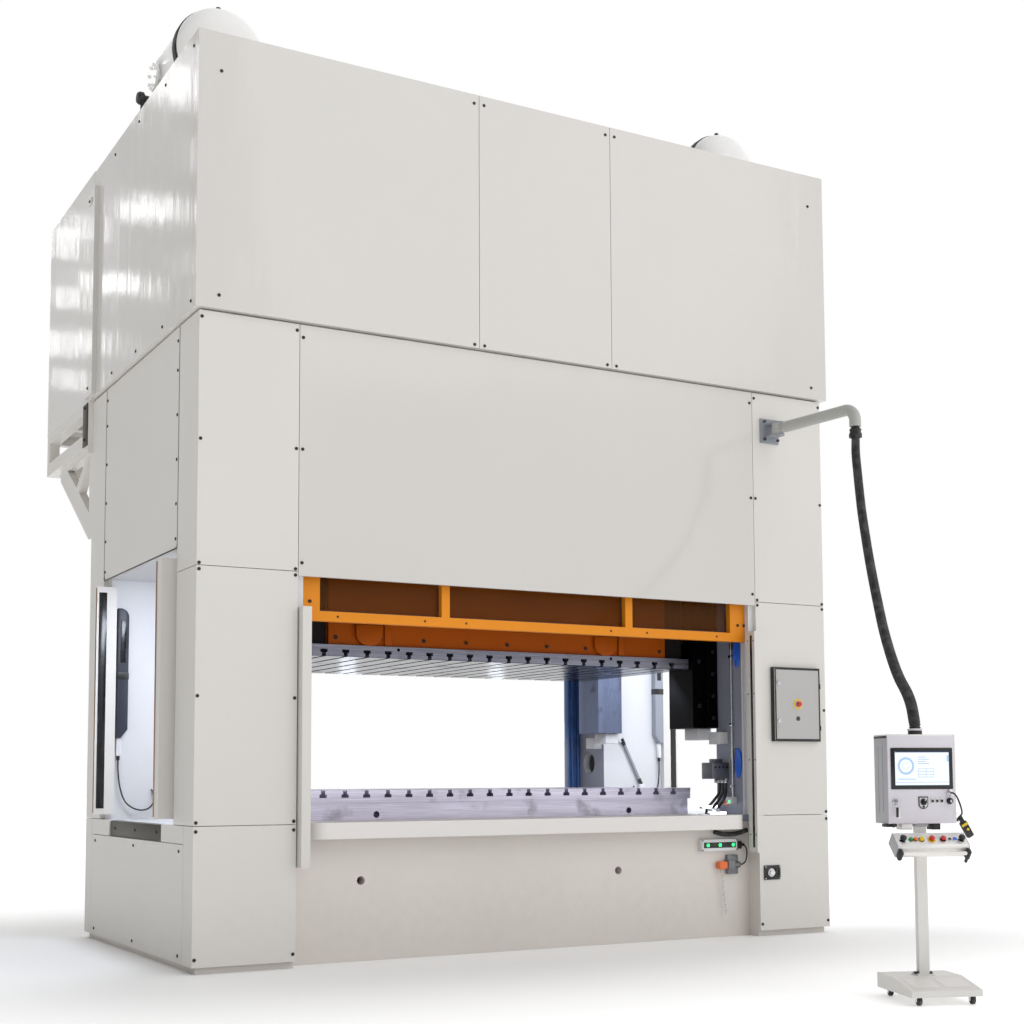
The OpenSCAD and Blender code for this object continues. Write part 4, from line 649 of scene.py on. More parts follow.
class Solid:
    """Gathers closed shells into one mesh, in metres, in the shared frame."""

    def __init__(self) -> None:
        """Starts empty, with the first finish."""
        self.mesh = bmesh.new()
        self.tone = 0

    def use(self, tone: int) -> "Solid":
        """Picks the finish, by its place in the list, for the next shells."""
        self.tone = tone
        return self

    def shell(self, points: Iterable[Sequence[float]], faces: Iterable[Sequence[int]], edge: float = 0.0) -> "Solid":
        """Adds one closed shell.

        Args:
            points: its corners.
            faces: corner numbers of each face.
            edge: width of the rounding on its sharp edges.

        Returns:
            This solid.
        """
        corners = [self.mesh.verts.new(point) for point in points]
        made = [self.mesh.faces.new([corners[i] for i in face]) for face in faces]
        bmesh.ops.recalc_face_normals(self.mesh, faces=made)
        for face in made:
            face.material_index = self.tone
        if edge > 0:
            sharp = [
                rim
                for rim in {rim for face in made for rim in face.edges}
                if len(rim.link_faces) == 2 and rim.calc_face_angle(0.0) > SHARP_EDGE
            ]
            bmesh.ops.bevel(
                self.mesh, geom=sharp, offset=edge, segments=2, profile=0.5, affect="EDGES", clamp_overlap=True,
                material=-1,
            )
        return self

    def block(self, low: Point, high: Point, edge: float = 0.002) -> "Solid":
        """Adds a block with rounded edges between two corners."""
        (a, b, c), (d, e, f) = [[pick(pair) for pair in zip(low, high)] for pick in (min, max)]
        corners = [(a, b, c), (d, b, c), (d, e, c), (a, e, c), (a, b, f), (d, b, f), (d, e, f), (a, e, f)]
        faces = [(0, 3, 2, 1), (4, 5, 6, 7), (0, 1, 5, 4), (1, 2, 6, 5), (2, 3, 7, 6), (3, 0, 4, 7)]
        return self.shell(corners, faces, edge)

    def blocks(self, rows: Iterable[Row]) -> "Solid":
        """Adds a block for each row of finish, two corners and rounding."""
        for tone, low, high, edge in rows:
            self.use(tone).block(low, high, edge)
        return self

    def border(
        self, low: Pair, high: Pair, depth: Pair, width: float, edge: float
    ) -> "Solid":
        """Adds four strips inside a rectangle that faces the front.

        Args:
            low: x and z of the lower left corner.
            high: x and z of the upper right corner.
            depth: y of the strips' front and back.
            width: the strips' width.
            edge: width of the rounding.

        Returns:
            This solid.
        """
        (x0, z0), (x1, z1) = low, high
        for a, b, c, d in (
            (x0, x1, z0, z0 + width), (x0, x1, z1 - width, z1),
            (x0, x0 + width, z0 + width, z1 - width), (x1 - width, x1, z0 + width, z1 - width),
        ):
            self.block((a, depth[0], c), (b, depth[1], d), edge)
        return self

    def grid(self, xs: Sequence[float], y: float, zs: Sequence[float], radius: float, height: float) -> "Solid":
        """Adds bolts on a front face at each crossing of xs and zs."""
        for x in xs:
            for z in zs:
                self.bolt((x, y, z), FRONT, radius, height)
        return self

    def prism(
        self, outline: Sequence[Pair], axis: Axis, start: float, end: float, edge: float = 0.0
    ) -> "Solid":
        """Adds an outline drawn out along an axis.

        Args:
            outline: points on the other two axes, in order.
            axis: direction of the draw.
            start: first end on the axis.
            end: second end on the axis.
            edge: width of the rounding.

        Returns:
            This solid.
        """
        spots = {
            Axis.X: lambda p, s: (s, p[0], p[1]),
            Axis.Y: lambda p, s: (p[0], s, p[1]),
            Axis.Z: lambda p, s: (p[0], p[1], s),
        }[axis]
        count = len(outline)
        points = [spots(p, s) for s in (start, end) for p in outline]
        walls = [(i, (i + 1) % count, count + (i + 1) % count, count + i) for i in range(count)]
        return self.shell(points, [tuple(range(count)), tuple(range(count, 2 * count)), *walls], edge)

    def turned(
        self, profile: Sequence[Pair], base: Sequence[float], axis: Vector, sides: int = 24
    ) -> "Solid":
        """Adds a turned shape.

        Args:
            profile: radius and height pairs from one end to the other.
            base: point of height 0.
            axis: direction of height.
            sides: corners round the axis.

        Returns:
            This solid.
        """
        up = Vector(axis).normalized()
        side = up.orthogonal().normalized()
        other = up.cross(side)
        points: list[Vector] = []
        rings: list[list[int]] = []
        for radius, height in profile:
            centre = Vector(base) + up * height
            if radius < 1e-6:
                rings.append([len(points)])
                points.append(centre)
                continue
            rings.append(list(range(len(points), len(points) + sides)))
            points += [centre + radius * (math.cos(a) * side + math.sin(a) * other) for a in sweep(0, 2, sides)[:-1]]
        faces: list[Sequence[int]] = []
        for low, high in zip(rings, rings[1:]):
            for k in range(sides):
                j = (k + 1) % sides
                if len(low) == 1 and len(high) > 1:
                    faces.append((low[0], high[k], high[j]))
                elif len(high) == 1 and len(low) > 1:
                    faces.append((low[k], low[j], high[0]))
                elif len(low) > 1:
                    faces.append((low[k], low[j], high[j], high[k]))
        faces += [ring for ring in (rings[0], rings[-1]) if len(ring) > 1]
        return self.shell(points, faces)

    def bar(self, start: Sequence[float], end: Sequence[float], radius: float, sides: int = 20) -> "Solid":
        """Adds a round bar with eased ends between two points."""
        run = Vector(end) - Vector(start)
        ease = min(0.15 * radius, 0.2 * run.length)
        profile = [(radius - ease, 0), (radius, ease), (radius, run.length - ease), (radius - ease, run.length)]
        return self.turned(profile, start, run, sides)

    def bolt(self, at: Sequence[float], axis: Vector, radius: float, height: float, sides: int = 12) -> "Solid":
        """Adds a socket-head bolt that stands on a face."""
        profile = [
            (radius, 0), (radius, 0.75 * height), (0.86 * radius, height), (0.5 * radius, height),
            (0.45 * radius, 0.45 * height), (0, 0.45 * height),
        ]
        return self.turned(profile, at, axis, sides)

    def pipe(self, path: Sequence[Sequence[float]], radius: float | Sequence[float], sides: int = 12) -> "Solid":
        """Adds a closed tube along a path.

        Args:
            path: points of the centre line.
            radius: one radius, or one for each point.
            sides: corners of the section.

        Returns:
            This solid.
        """
        line = [Vector(p) for p in path]
        radii = list(radius) if isinstance(radius, (list, tuple)) else [radius] * len(line)
        last = len(line) - 1
        side = (line[1] - line[0]).orthogonal().normalized()
        points: list[Vector] = []
        for i, spot in enumerate(line):
            way = (line[min(i + 1, last)] - line[max(i - 1, 0)]).normalized()
            side = (side - way * side.dot(way)).normalized()
            other = way.cross(side)
            points += [spot + radii[i] * (math.cos(a) * side + math.sin(a) * other) for a in sweep(0, 2, sides)[:-1]]
        faces: list[Sequence[int]] = [tuple(range(sides)), tuple(range(last * sides, (last + 1) * sides))]
        for i in range(last):
            for k in range(sides):
                j = (k + 1) % sides
                faces.append((i * sides + k, i * sides + j, (i + 1) * sides + j, (i + 1) * sides + k))
        return self.shell(points, faces)

    def moved(self, matrix: Matrix) -> "Solid":
        """Moves everything gathered so far."""
        self.mesh.transform(matrix)
        return self

    def thing(self, name: str) -> bpy.types.Object:
        """Makes a bare object of everything gathered."""
        data = bpy.data.meshes.new(name)
        self.mesh.to_mesh(data)
        self.mesh.free()
        made = bpy.data.objects.new(name, data)
        bpy.context.scene.collection.objects.link(made)
        return made

    def piece(
        self, name: str, finishes: Sequence[Finish], slot: str, body: str | None = Body.FRAME.value,
        smooth: float = 32.0,
    ) -> bpy.types.Object:
        """Makes the object.

        Args:
            name: the piece's name.
            finishes: finishes in the order that use() numbers them.
            slot: the record's material slot.
            body: the CAD body it rides on, or None to leave it free.
            smooth: angle in degrees under which edges are shaded smooth.

        Returns:
            The new object.
        """
        made = self.thing(name)
        data = made.data
        for finish in finishes:
            data.materials.append(Paintbox.get(finish))
        data.shade_smooth()
        data.set_sharp_from_angle(angle=math.radians(smooth))
        if body is not None:
            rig.ride(made, body)
        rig.slot(made, slot)
        log.info("piece %s: %d faces", name, len(data.polygons))
        return made


def curve(points: Sequence[Sequence[float]], spacing: float) -> list[Vector]:
    """Runs a smooth line through points.

    Args:
        points: points that the line passes through.
        spacing: distance between the new points.

    Returns:
        Points along the line.
    """
    knots = [Vector(p) for p in points]
    ends = [2 * knots[0] - knots[1], *knots, 2 * knots[-1] - knots[-2]]
    dense: list[Vector] = []
    for a, b, c, d in zip(ends, ends[1:], ends[2:], ends[3:]):
        for k in range(CURVE_STEPS):
            t = k / CURVE_STEPS
            dense.append(
                0.5 * ((2 * b) + (c - a) * t + (2 * a - 5 * b + 4 * c - d) * t * t + (3 * b - a - 3 * c + d) * t**3)
            )
    dense.append(knots[-1])
    total = sum((q - p).length for p, q in zip(dense, dense[1:]))
    count = max(2, round(total / spacing))
    wanted = [total * i / count for i in range(count + 1)]
    out, walked, i = [dense[0]], 0.0, 0
    for mark in wanted[1:-1]:
        while walked + (dense[i + 1] - dense[i]).length < mark:
            walked += (dense[i + 1] - dense[i]).length
            i += 1
        step = (dense[i + 1] - dense[i]).length
        out.append(dense[i].lerp(dense[i + 1], (mark - walked) / step))
    out.append(dense[-1])
    return out


@dataclass(frozen=True)
class Viewpoint:
    """The camera, as solved from the photograph's edges."""

    place: Point = (-5.090, -9.934, 1.119)
    yaw: float = 29.376
    pitch: float = 4.602
    roll: float = -0.259
    focal_px: float = 1519.2
    centre_px: Pair = (518.1, 657.0)
    sensor: float = 36.0

    def build(self) -> None:
        """Makes the camera and hands it to the scene."""
        yaw, pitch, roll = (math.radians(a) for a in (self.yaw, self.pitch, self.roll))
        ahead = Vector((math.sin(yaw) * math.cos(pitch), math.cos(yaw) * math.cos(pitch), math.sin(pitch)))
        level = Vector((math.cos(yaw), -math.sin(yaw), 0.0))
        lift = level.cross(ahead)
        right = math.cos(roll) * level + math.sin(roll) * lift
        up = -math.sin(roll) * level + math.cos(roll) * lift
        data = bpy.data.cameras.new("camera")
        data.sensor_fit = "HORIZONTAL"
        data.sensor_width = self.sensor
        data.lens = self.sensor * self.focal_px / IMAGE_PX
        data.shift_x = (IMAGE_PX / 2 - self.centre_px[0]) / IMAGE_PX
        data.shift_y = (self.centre_px[1] - IMAGE_PX / 2) / IMAGE_PX
        data.clip_end = 300.0
        made = bpy.data.objects.new("camera", data)
        turn = Matrix((right, up, -ahead)).transposed().to_4x4()
        made.matrix_world = Matrix.Translation(self.place) @ turn
        bpy.context.scene.collection.objects.link(made)
        bpy.context.scene.camera = made


@dataclass(frozen=True)
class Studio:
    """Pale floor, white surround and soft lights."""

    floor_half: float = 90.0
    left_share: float = 0.36
    dim_span: Pair = (-0.55, 0.1)
    # Reach and strength of the floor's painted glow: weak near the press, strong far from it.
    floor_reach: Pair = (0.3, 2.8)
    floor_glow: Pair = (0.03, 0.34)
    press_half: Point = (2.4, 1.3, 0.3)
    cool: Point = (0.82, 0.88, 1.0)
    blob_y: float = 12.0
    blob_size: float = 0.7
    blob_watts: float = 6.0
    blobs: tuple[tuple[float, float, float, float], ...] = (
        (-6.5, 11.9, 0.30, 1.2), (-6.2, 11.6, 0.35, 0.9), (-5.8, 11.7, 0.30, 0.8), (-5.2, 11.2, 0.30, 0.9),
        (-6.0, 9.7, 0.45, 0.45), (-5.6, 9.55, 0.40, 0.4), (-5.5, 8.45, 0.45, 0.40), (-5.15, 8.4, 0.35, 0.35),
        (-5.05, 7.5, 0.30, 0.45), (-4.85, 9.2, 0.22, 0.5), (-4.6, 8.9, 0.25, 0.6), (-4.7, 8.1, 0.25, 0.4),
        (-4.5, 7.4, 0.25, 0.5), (-4.75, 6.9, 0.22, 0.4), (-6.75, 10.6, 0.2, 0.7), (-6.7, 8.9, 0.2, 0.5),
    )

    def floor(self) -> None:
        """Lays the floor, whose emission is painted light: weak near the press, leaving a painted shadow round its
        base, and strong further out.
        """
        half = self.floor_half
        made = Solid().block((-half, -half, -0.2), (half, half, -0.0005), 0.0).thing("studio_floor")
        tree = Shader("studio_floor")
        cloud = tree.noise(0.4, 3.0)
        colour = tree.mix(cloud, tint(250, 250, 250), tint(254, 254, 254))
        spot = tree.node("ShaderNodeVectorMath", {"operation": "ABSOLUTE"}, {0: tree.place()})
        spot = tree.node("ShaderNodeVectorMath", {"operation": "SUBTRACT"}, {0: spot, 1: self.press_half})
        spot = tree.node("ShaderNodeVectorMath", {"operation": "MAXIMUM"}, {0: spot, 1: (0, 0, 0)})
        away = tree.node("ShaderNodeVectorMath", {"operation": "LENGTH"}, {0: spot}, "Value")
        # Painted light: the glow rises with distance from the press box, so the floor stays shaded round the base.
        near, far = (shade(PURE_WHITE, glow) for glow in self.floor_glow)
        glow = tree.mix(away.step(*self.floor_reach), near, far)
        made.data.materials.append(
            tree.surface(Base_Color=colour, Roughness=0.7, Emission_Color=glow, Emission_Strength=1.0)
        )
        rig.stage(made)

    def sky(self) -> None:
        """Fills the surround with white that is dimmer towards the left."""
        tree = Shader("surround", True)
        bpy.context.scene.world = tree.owner
        spot = tree.node("ShaderNodeTexCoord", output="Generated")
        across = tree.node("ShaderNodeSeparateXYZ", {}, {0: spot})
        low, high = self.dim_span
        span = tree.node(
            "ShaderNodeMapRange", {"interpolation_type": "SMOOTHSTEP"},
            {"Value": across, "From Min": low, "From Max": high, "To Min": self.left_share, "To Max": 1.0},
        )
        back = tree.node("ShaderNodeBackground", {}, {"Color": PURE_WHITE, "Strength": span})
        tree.close("ShaderNodeOutputWorld", back)

    def lamp(
        self, name: str, at: Point, aim: Point, size: Pair, watts: float,
        colour: tuple[float, float, float] = (1.0, 1.0, 1.0),
    ) -> None:
        """Hangs one soft light.

        Args:
            name: the light's name.
            at: where it hangs.
            aim: the point it faces.
            size: width and height.
            watts: its power.
            colour: its colour.
        """
        data = bpy.data.lights.new(name, "AREA")
        data.shape = "RECTANGLE"
        data.size, data.size_y = size
        data.energy = watts
        data.color = colour
        made = bpy.data.objects.new(name, data)
        made.location = at
        made.rotation_euler = (Vector(aim) - Vector(at)).to_track_quat("-Z", "Y").to_euler()
        bpy.context.scene.collection.objects.link(made)

    def build(self) -> None:
        """Makes floor, surround and lights."""
        self.floor()
        self.sky()
        cool = self.cool
        self.lamp("key", (7.0, -14.0, 12.0), (0.0, -1.0, 2.5), (9.0, 9.0), 240.0)
        for number, (x, z, wide, tall) in enumerate(self.blobs):
            size = (self.blob_size * wide, self.blob_size * tall)
            self.lamp(f"strip_{number}", (x, self.blob_y, z), (-2.4, 0.5, 4.8), size, self.blob_watts * wide * tall)
        for s, side in zip(SIDES, ("left", "right")):
            self.lamp(f"{side}_window", (s * 2.05, -0.1, 2.50), (s * 2.05, 0.2, 0.9), (0.45, 1.1), 26.0, cool)
            self.lamp(f"{side}_die", (s * 1.25, -0.2, 1.88), (s * 2.2, 0.5, 1.2), (0.4, 0.3), 8.0, cool)
        for number, x in enumerate((0.9, 2.6)):
            self.lamp(f"glint_{number}", (x, 4.2, 1.58), (0.0, 0.0, 1.92), (0.16, 0.3), 0.6, cool)
        bpy.context.scene.view_settings.view_transform = "Standard"


@dataclass
class Hose:
    """The ribbed hose from the swing arm to the console."""

    radius: float = 0.030
    groove: float = 0.0045
    pitch: float = 0.014
    length: float = 3.3606
    route: list[Point] = field(
        default_factory=lambda: [
            (1.9652, -2.1302, 3.5197), (1.9652, -2.1302, 3.430), (1.955, -2.140, 3.330), (1.930, -2.180, 3.200),
            (1.885, -2.245, 3.050), (1.815, -2.340, 2.890), (1.725, -2.465, 2.720), (1.620, -2.610, 2.540),
            (1.505, -2.770, 2.360), (1.375, -2.950, 2.180), (1.240, -3.135, 2.010), (1.105, -3.325, 1.860),
            (0.980, -3.500, 1.745), (0.860, -3.665, 1.660), (0.755, -3.810, 1.600), (0.675, -3.920, 1.550),
            (0.615, -4.005, 1.490), (0.580, -4.055, 1.425), (0.5718, -4.0694, 1.390), (0.5718, -4.0694, 1.3723),
        ]
    )

    def build(self) -> None:
        line = curve(self.route, self.pitch / 4)
        rise = (0.0, self.groove, self.groove, 0.0)
        radii = [self.radius - rise[i % 4] for i in range(len(line))]
        made = Solid().pipe(line, radii, 18).piece("ribbed_hose", [RUBBER], "hose_rubber", None, CORD_SMOOTH)
        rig.cord(
            made, exit=self.route[0], length=self.length, diameter=2 * self.radius, far_end="object",
            stiffness="stiff", lay="hanging", path=[tuple(p) for p in line[::4]] + [tuple(line[-1])],
        )
        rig.replaces(made, "console_hose")
        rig.blend(made, Body.ARM.value, Body.FRAME.value, start=self.route[0], end=self.route[-1])


class CarriedNodes:
    """Finishes of the CAD nodes that stay in view."""

    looks: dict[Finish, str] = {
        BED_WHITE: "bed",
        LEG: "left_upright right_upright",
        JAMB: "crown balance_cylinders guard_rails",
        SHAFT_STEEL: "tie_rods left_eccentric_shaft right_eccentric_shaft left_pinion_shaft right_pinion_shaft "
        "balance_pistons",
        BED_STEEL: "bolster",
        DARK_STEEL: "left_main_gear right_main_gear left_connecting_rod right_connecting_rod",
        BRONZE: "shaft_bearings gib_liners",
        MOTOR: "servo_motors",
        SLIDE_ORANGE: "slide_body",
        PLATE_STEEL: "slide_plate",
        GIB_STEEL: "gib_rails",
        ORANGE: "guard_frame",
        BROWN_GLASS: "guard_windows",
        GLOSS: "upper_panels rear_enclosure",
        WHITE: "frame_covers rear_platform curtain_posts",
        PANEL: "apron_tray",
        TANK: "surge_tanks",
        LAMP_GREY: "work_lamps arm_bracket",
        BLACK_PAINT: "electric_box",
        DOOR_GREY: "box_door",
        RED: "box_stop_button stop_button reset_button",
        ARM_WHITE: "swing_arm",
        RUBBER: "console_hose",
        FOOT_GREY: "pedestal",
        LILAC: "console_housing",
        LENS: "console_screen",
        SILVER: "button_desk",
        GREEN: "green_button",
        AMBER: "orange_button",
        YELLOW: "yellow_button",
        BLACK: "left_palm_button right_palm_button mode_selector",
        CHROME: "key_switch front_left_fork front_right_fork rear_left_fork rear_right_fork",
        TYRE: "front_left_wheel front_right_wheel rear_left_wheel rear_right_wheel",
    }

    def dress(self) -> None:
        """Gives each node its finish."""
        looks = {name: finish for finish, names in self.looks.items() for name in names.split()}
        for name, node in frame["nodes"].items():
            node.data.materials.clear()
            node.data.materials.append(Paintbox.get(looks[name]))
            log.info("node %s: %s", name, looks[name].name)


@dataclass
class Covers:
    """Screws, sill plates, gaskets and side plates on the sheet covers."""

    face: float = 1.275
    crown_front: float = -1.312
    side: float = 2.386
    crown_side: float = 2.423
    head: float = 0.0105
    tall: float = 0.005
    columns: Levels = (1.768, 2.371)
    heights: Levels = (3.885, 3.145, 2.402, 2.364, 1.615, 0.874, 0.822, 0.085)
    inner_column: float = 1.727
    inner_heights: Levels = (3.845, 3.145, 2.442)
    side_y: float = 0.852
    side_heights: Levels = (3.84, 3.655, 3.375, 3.095, 2.818, 2.60)
    base_heights: Levels = (0.70, 0.085)

    def spots(self) -> Iterable[tuple[Point, Vector]]:
        """Lists each screw's foot and direction."""
        for s in SIDES:
            out = s * Axis.X.value
            for z in self.heights:
                for x in self.columns:
                    for t in SIDES:
                        yield (s * x, t * self.face, z), t * BACK
            for z in self.inner_heights:
                yield (s * self.inner_column, -self.face, z), FRONT
            for z in self.side_heights:
                for t in SIDES:
                    yield (s * self.side, t * self.side_y, z), out
            for x, levels in ((2.28, (5.406, 4.017)), (0.478, (5.585, 3.955)), (0.552, (5.585, 3.955))):
                for z in levels:
                    yield (s * x, self.crown_front, z), FRONT
            for z in (5.57, 3.985):
                for y in (-1.22, -0.62, 0.0, 0.62):
                    yield (s * self.crown_side, y, z), out
            for z in self.base_heights:
                for y in (-1.0, 0.0, 1.0):
                    yield (s * self.side, y, z), out

    def build(self) -> None:
        """Makes the screws and the dark sills of the feed windows."""
        solid = Solid()
        for spot, way in self.spots():
            solid.bolt(spot, way, self.head, self.tall)
        solid.piece("cover_screws", [SCREW_BLACK], "black_paint")
        sills = Solid()
        for s in SIDES:
            sills.block((s * 2.3565, -0.62, 0.748), (s * 2.378, 0.62, 0.846), 0.004)
            for y in (-0.5, 0.0, 0.5):
                sills.bolt((s * 2.378, y, 0.80), s * Axis.X.value, 0.009, 0.006)
        sills.piece("window_sills", [OLIVE], "black_paint")
        self.seams()

    def seams(self) -> None:
        """Makes the side panels' gaskets, the beam plates and the corner posts' clips."""
        gaskets, plates = Solid(), Solid()
        skin, proud = 2.3845, 2.3872
        beam, clip, post = 2.431, 2.464, 2.456
        for s in SIDES:
            out = s * Axis.X.value
            for t in SIDES:
                gaskets.block((s * skin, t * 0.8795, 2.545), (s * proud, t * 0.8885, 3.925), 0.0005)
            gaskets.block((s * skin, -0.8795, 2.536), (s * proud, 0.8795, 2.545), 0.0005)
            plates.use(1).block((s * 2.4225, 1.285, 3.60), (s * beam, 1.42, 3.92), 0.003)
            for z in (3.65, 3.89):
                plates.use(2).bolt((s * beam, 1.352, z), out, 0.012, 0.008)
            plates.use(0).block((s * 2.4555, 1.14, 5.385), (s * clip, 1.23, 5.435), 0.003)
            for z, x in ((5.41, clip), (4.0, post)):
                plates.use(2).bolt((s * x, 1.185, z), out, 0.011, 0.006)
        gaskets.piece("panel_gaskets", [RUBBER], "black_plastic")
        plates.piece("side_plates", [GLOSS, OLIVE, SCREW_BLACK], "white_paint")


@dataclass
class SurgeTanks:
    """Two domed tanks on the roof with dark bands behind their heads, flanges and valves."""

    x: float = 2.046
    front: float = -0.570
    length: float = 0.600
    radius: float = 0.290
    head: float = 0.150
    axis_z: float = 5.896
    steps: int = 20
    sides: int = 64
    flange_bolts: int = 8
    valve: Profile = (
        (0.016, -0.01), (0.02, 0.004), (0.02, 0.02), (0.014, 0.024), (0.018, 0.03), (0.016, 0.044), (0, 0.046),
    )

    def shell(self) -> list[Pair]:
        """Gives the tank's outline: domed heads, weld beads and a straight wall."""
        quarter = sweep(0, 0.5, self.steps)
        front = [(self.radius * math.sin(a), -self.head * math.cos(a)) for a in quarter]
        back = [(self.radius * math.cos(a), self.length + self.head * math.sin(a)) for a in quarter]
        bead = [(self.radius + 0.003, 0.006), (self.radius + 0.003, 0.014), (self.radius, 0.02)]
        rear_bead = [(r, self.length - h) for r, h in reversed(bead)]
        return front + bead + rear_bead + back

    def fittings(self, solid: Solid, s: float) -> None:
        """Adds the saddles, the dark band behind the front head, side flange, stub valve and relief valve of one tank.
        """
        base = Vector((s * self.x, self.front, self.axis_z))
        out = s * Axis.X.value
        r = self.radius
        for y in (0.11, self.length - 0.11):
            low = base + Vector((-0.232, y - 0.04, -r - 0.006))
            high = base + Vector((0.232, y + 0.04, -0.55 * r))
            solid.use(0).block(tuple(low), tuple(high), 0.004)
        solid.use(1).turned([(r, 0.025), (r + 0.011, 0.03), (r + 0.011, 0.085), (r, 0.09)], base, BACK, self.sides)
        flange, face = base + Vector((0, self.length - 0.15, -0.05)), r + 0.036
        rim = [(0.07, 0.145), (0.07, r + 0.016), (0.095, r + 0.017), (0.095, face), (0, face)]
        solid.use(0).turned(rim, flange, out, 32)
        for k in range(self.flange_bolts):
            turn = 2 * math.pi * (k + 0.5) / self.flange_bolts
            spot = flange + out * face + 0.078 * (math.cos(turn) * BACK + math.sin(turn) * UP)
            solid.bolt(spot, out, 0.011, 0.012)
        stub = base + Vector((0, self.length + 0.1, -0.1))
        grip = stub + out * (r + 0.03)
        solid.use(2).bar(stub + out * 0.145, grip, 0.026)
        collar = [(0.03, r + 0.02), (0.044, r + 0.03), (0.044, r + 0.055), (0.034, r + 0.07)]
        solid.use(1).turned(collar, stub, out, 20)
        solid.block(tuple(grip - Vector((0.014, 0.02, 0.0))), tuple(grip + Vector((0.014, 0.02, -0.14))), 0.006)
        solid.use(2).turned([(wide, r + h) for wide, h in self.valve], base + Vector((0, 0.06, 0)), UP, 16)

    def build(self) -> None:
        """Makes both tanks in one piece."""
        solid = Solid()
        for s in SIDES:
            solid.use(0).turned(self.shell(), (s * self.x, self.front, self.axis_z), BACK, self.sides)
            self.fittings(solid, s)
        made = solid.piece("surge_tank_shells", [TANK, RUBBER, DARK_STEEL], "white_paint")
        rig.replaces(made, "surge_tanks")


@dataclass
class Guard:
    """Bolts and gaskets of the lifting guard, and trim of the slide behind it."""

    front: float = -1.200
    pane: float = -1.1505
    gasket: float = 0.010
    low: float = 2.162
    high: float = 3.498
    openings: Profile = ((-1.578, -0.737), (-0.679, 0.679), (0.737, 1.578))
    slide_face: float = -0.7352
    lugs: Pair = (-1.05, 0.80)
    lug_half: float = 0.095
    slide_bolts: int = 9

    def build(self) -> None:
        """Makes the guard's and the slide's trim."""
        bolts = Solid()
        for s in SIDES:
            for x, z in ((1.645, 2.219), (1.700, 2.219), (1.645, 2.80), (1.645, 3.40)):
                bolts.bolt((s * x, self.front, z), FRONT, 0.011, 0.007)
        for a, b in self.openings:
            bolts.grid((a + 0.12, b - 0.12), self.front, (2.131,), 0.007, 0.004)
        bolts.piece("guard_bolts", [SCREW_BLACK], "black_paint", Body.GUARD.value)
        seals = Solid()
        for a, b in self.openings:
            seals.border((a, self.low), (b, self.high), (self.pane - 0.006, self.pane), self.gasket, 0.002)
        seals.piece("window_gaskets", [RUBBER], "black_plastic", Body.GUARD.value)
        slide, face, half = Solid(), self.slide_face, self.lug_half
        for x in self.lugs:
            outline = [(x + half * math.cos(a), 2.075 + 0.075 * math.sin(a)) for a in sweep(1, 2, 12)]
            slide.prism([*outline, (x + half, 2.14), (x - half, 2.14)], Axis.Y, -0.763, face, 0.004)
            slide.block((x + 0.115, -0.751, 2.006), (x + 0.165, face, 2.16), 0.003)
        for k in range(self.slide_bolts):
            slide.use(1).bolt((-1.28 + 0.32 * k, face, 2.05), FRONT, 0.013, 0.009)
        slide.piece("slide_trim", [SLIDE_ORANGE, SCREW_BLACK], "orange_paint", Body.RAM.value)


@dataclass
class WorkLamps:
    """Flat lamps on the window jambs, with bands, lenses, plugs and leads."""

    inner: float = 2.243
    outer: float = 2.323
    near: float = 0.720
    far: float = 0.780
    low: float = 1.420
    high: float = 2.335
    round: float = 0.060
    chamfer: float = 0.060
    plug: Pair = (2.298, 0.758)
    lead_radius: float = 0.0055

    def outline(self, s: float) -> list[Pair]:
        """Gives one lamp's front outline, with a rounded top and a cut lower corner."""
        turn = sweep(0.5, 1, 8)
        top = [(self.inner + self.round * (1 + math.cos(a)), self.high - self.round * (1 - math.sin(a))) for a in turn]
        rest = [
            (self.inner, self.low + self.chamfer), (self.inner + 0.8 * self.chamfer, self.low),
            (self.outer, self.low), (self.outer, self.high),
        ]
        return [(s * x, z) for x, z in top + rest]

    def build(self) -> None:
        """Makes the lamps and their leads."""
        solid = Solid()
        (x, y), near = self.plug, self.near
        for s in SIDES:
            a, b = s * self.inner, s * self.outer
            # The left lamp takes the darker copy of the lamp grey as painted shade; the right lamp keeps the lamp
            # grey.
            solid.use(0 if s > 0 else 4).prism(self.outline(s), Axis.Y, near, self.far, 0.006)
            solid.blocks([
                (1, (a - s * 0.002, near - 0.003, 1.832), (b + s * 0.002, self.far - 0.002, 1.880), 0.002),
                (2, (a + s * 0.02, near - 0.002, 1.95), (b - s * 0.02, near + 0.002, 2.25), 0.001),
                (3, (s * 2.280, 0.742, 1.295), (s * 2.316, 0.775, 1.42), 0.006),
            ])
            solid.use(1).bar((s * x, y, 1.265), (s * x, y, 1.295), 0.011)
        made = solid.piece("work_lamp_bars", [LAMP_GREY, BLACK, LENS, PALE, LAMP_PAINTED_SHADE], "lamp_grey")
        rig.replaces(made, "work_lamps")
        for s, side in zip(SIDES, ("left", "right")):
            route = [
                (x, y, 1.266), (2.297, 0.757, 1.19), (2.284, 0.752, 1.08), (2.252, 0.748, 0.985),
                (2.200, 0.745, 0.935), (2.140, 0.742, 0.915), (2.085, 0.741, 0.925), (2.050, 0.742, 0.962),
                (2.045, 0.748, 1.005), (2.048, 0.762, 1.040), (2.050, 0.779, 1.058),
            ]
            lead(f"{side}_lamp_lead", [(s * u, v, z) for u, v, z in route], self.lead_radius)


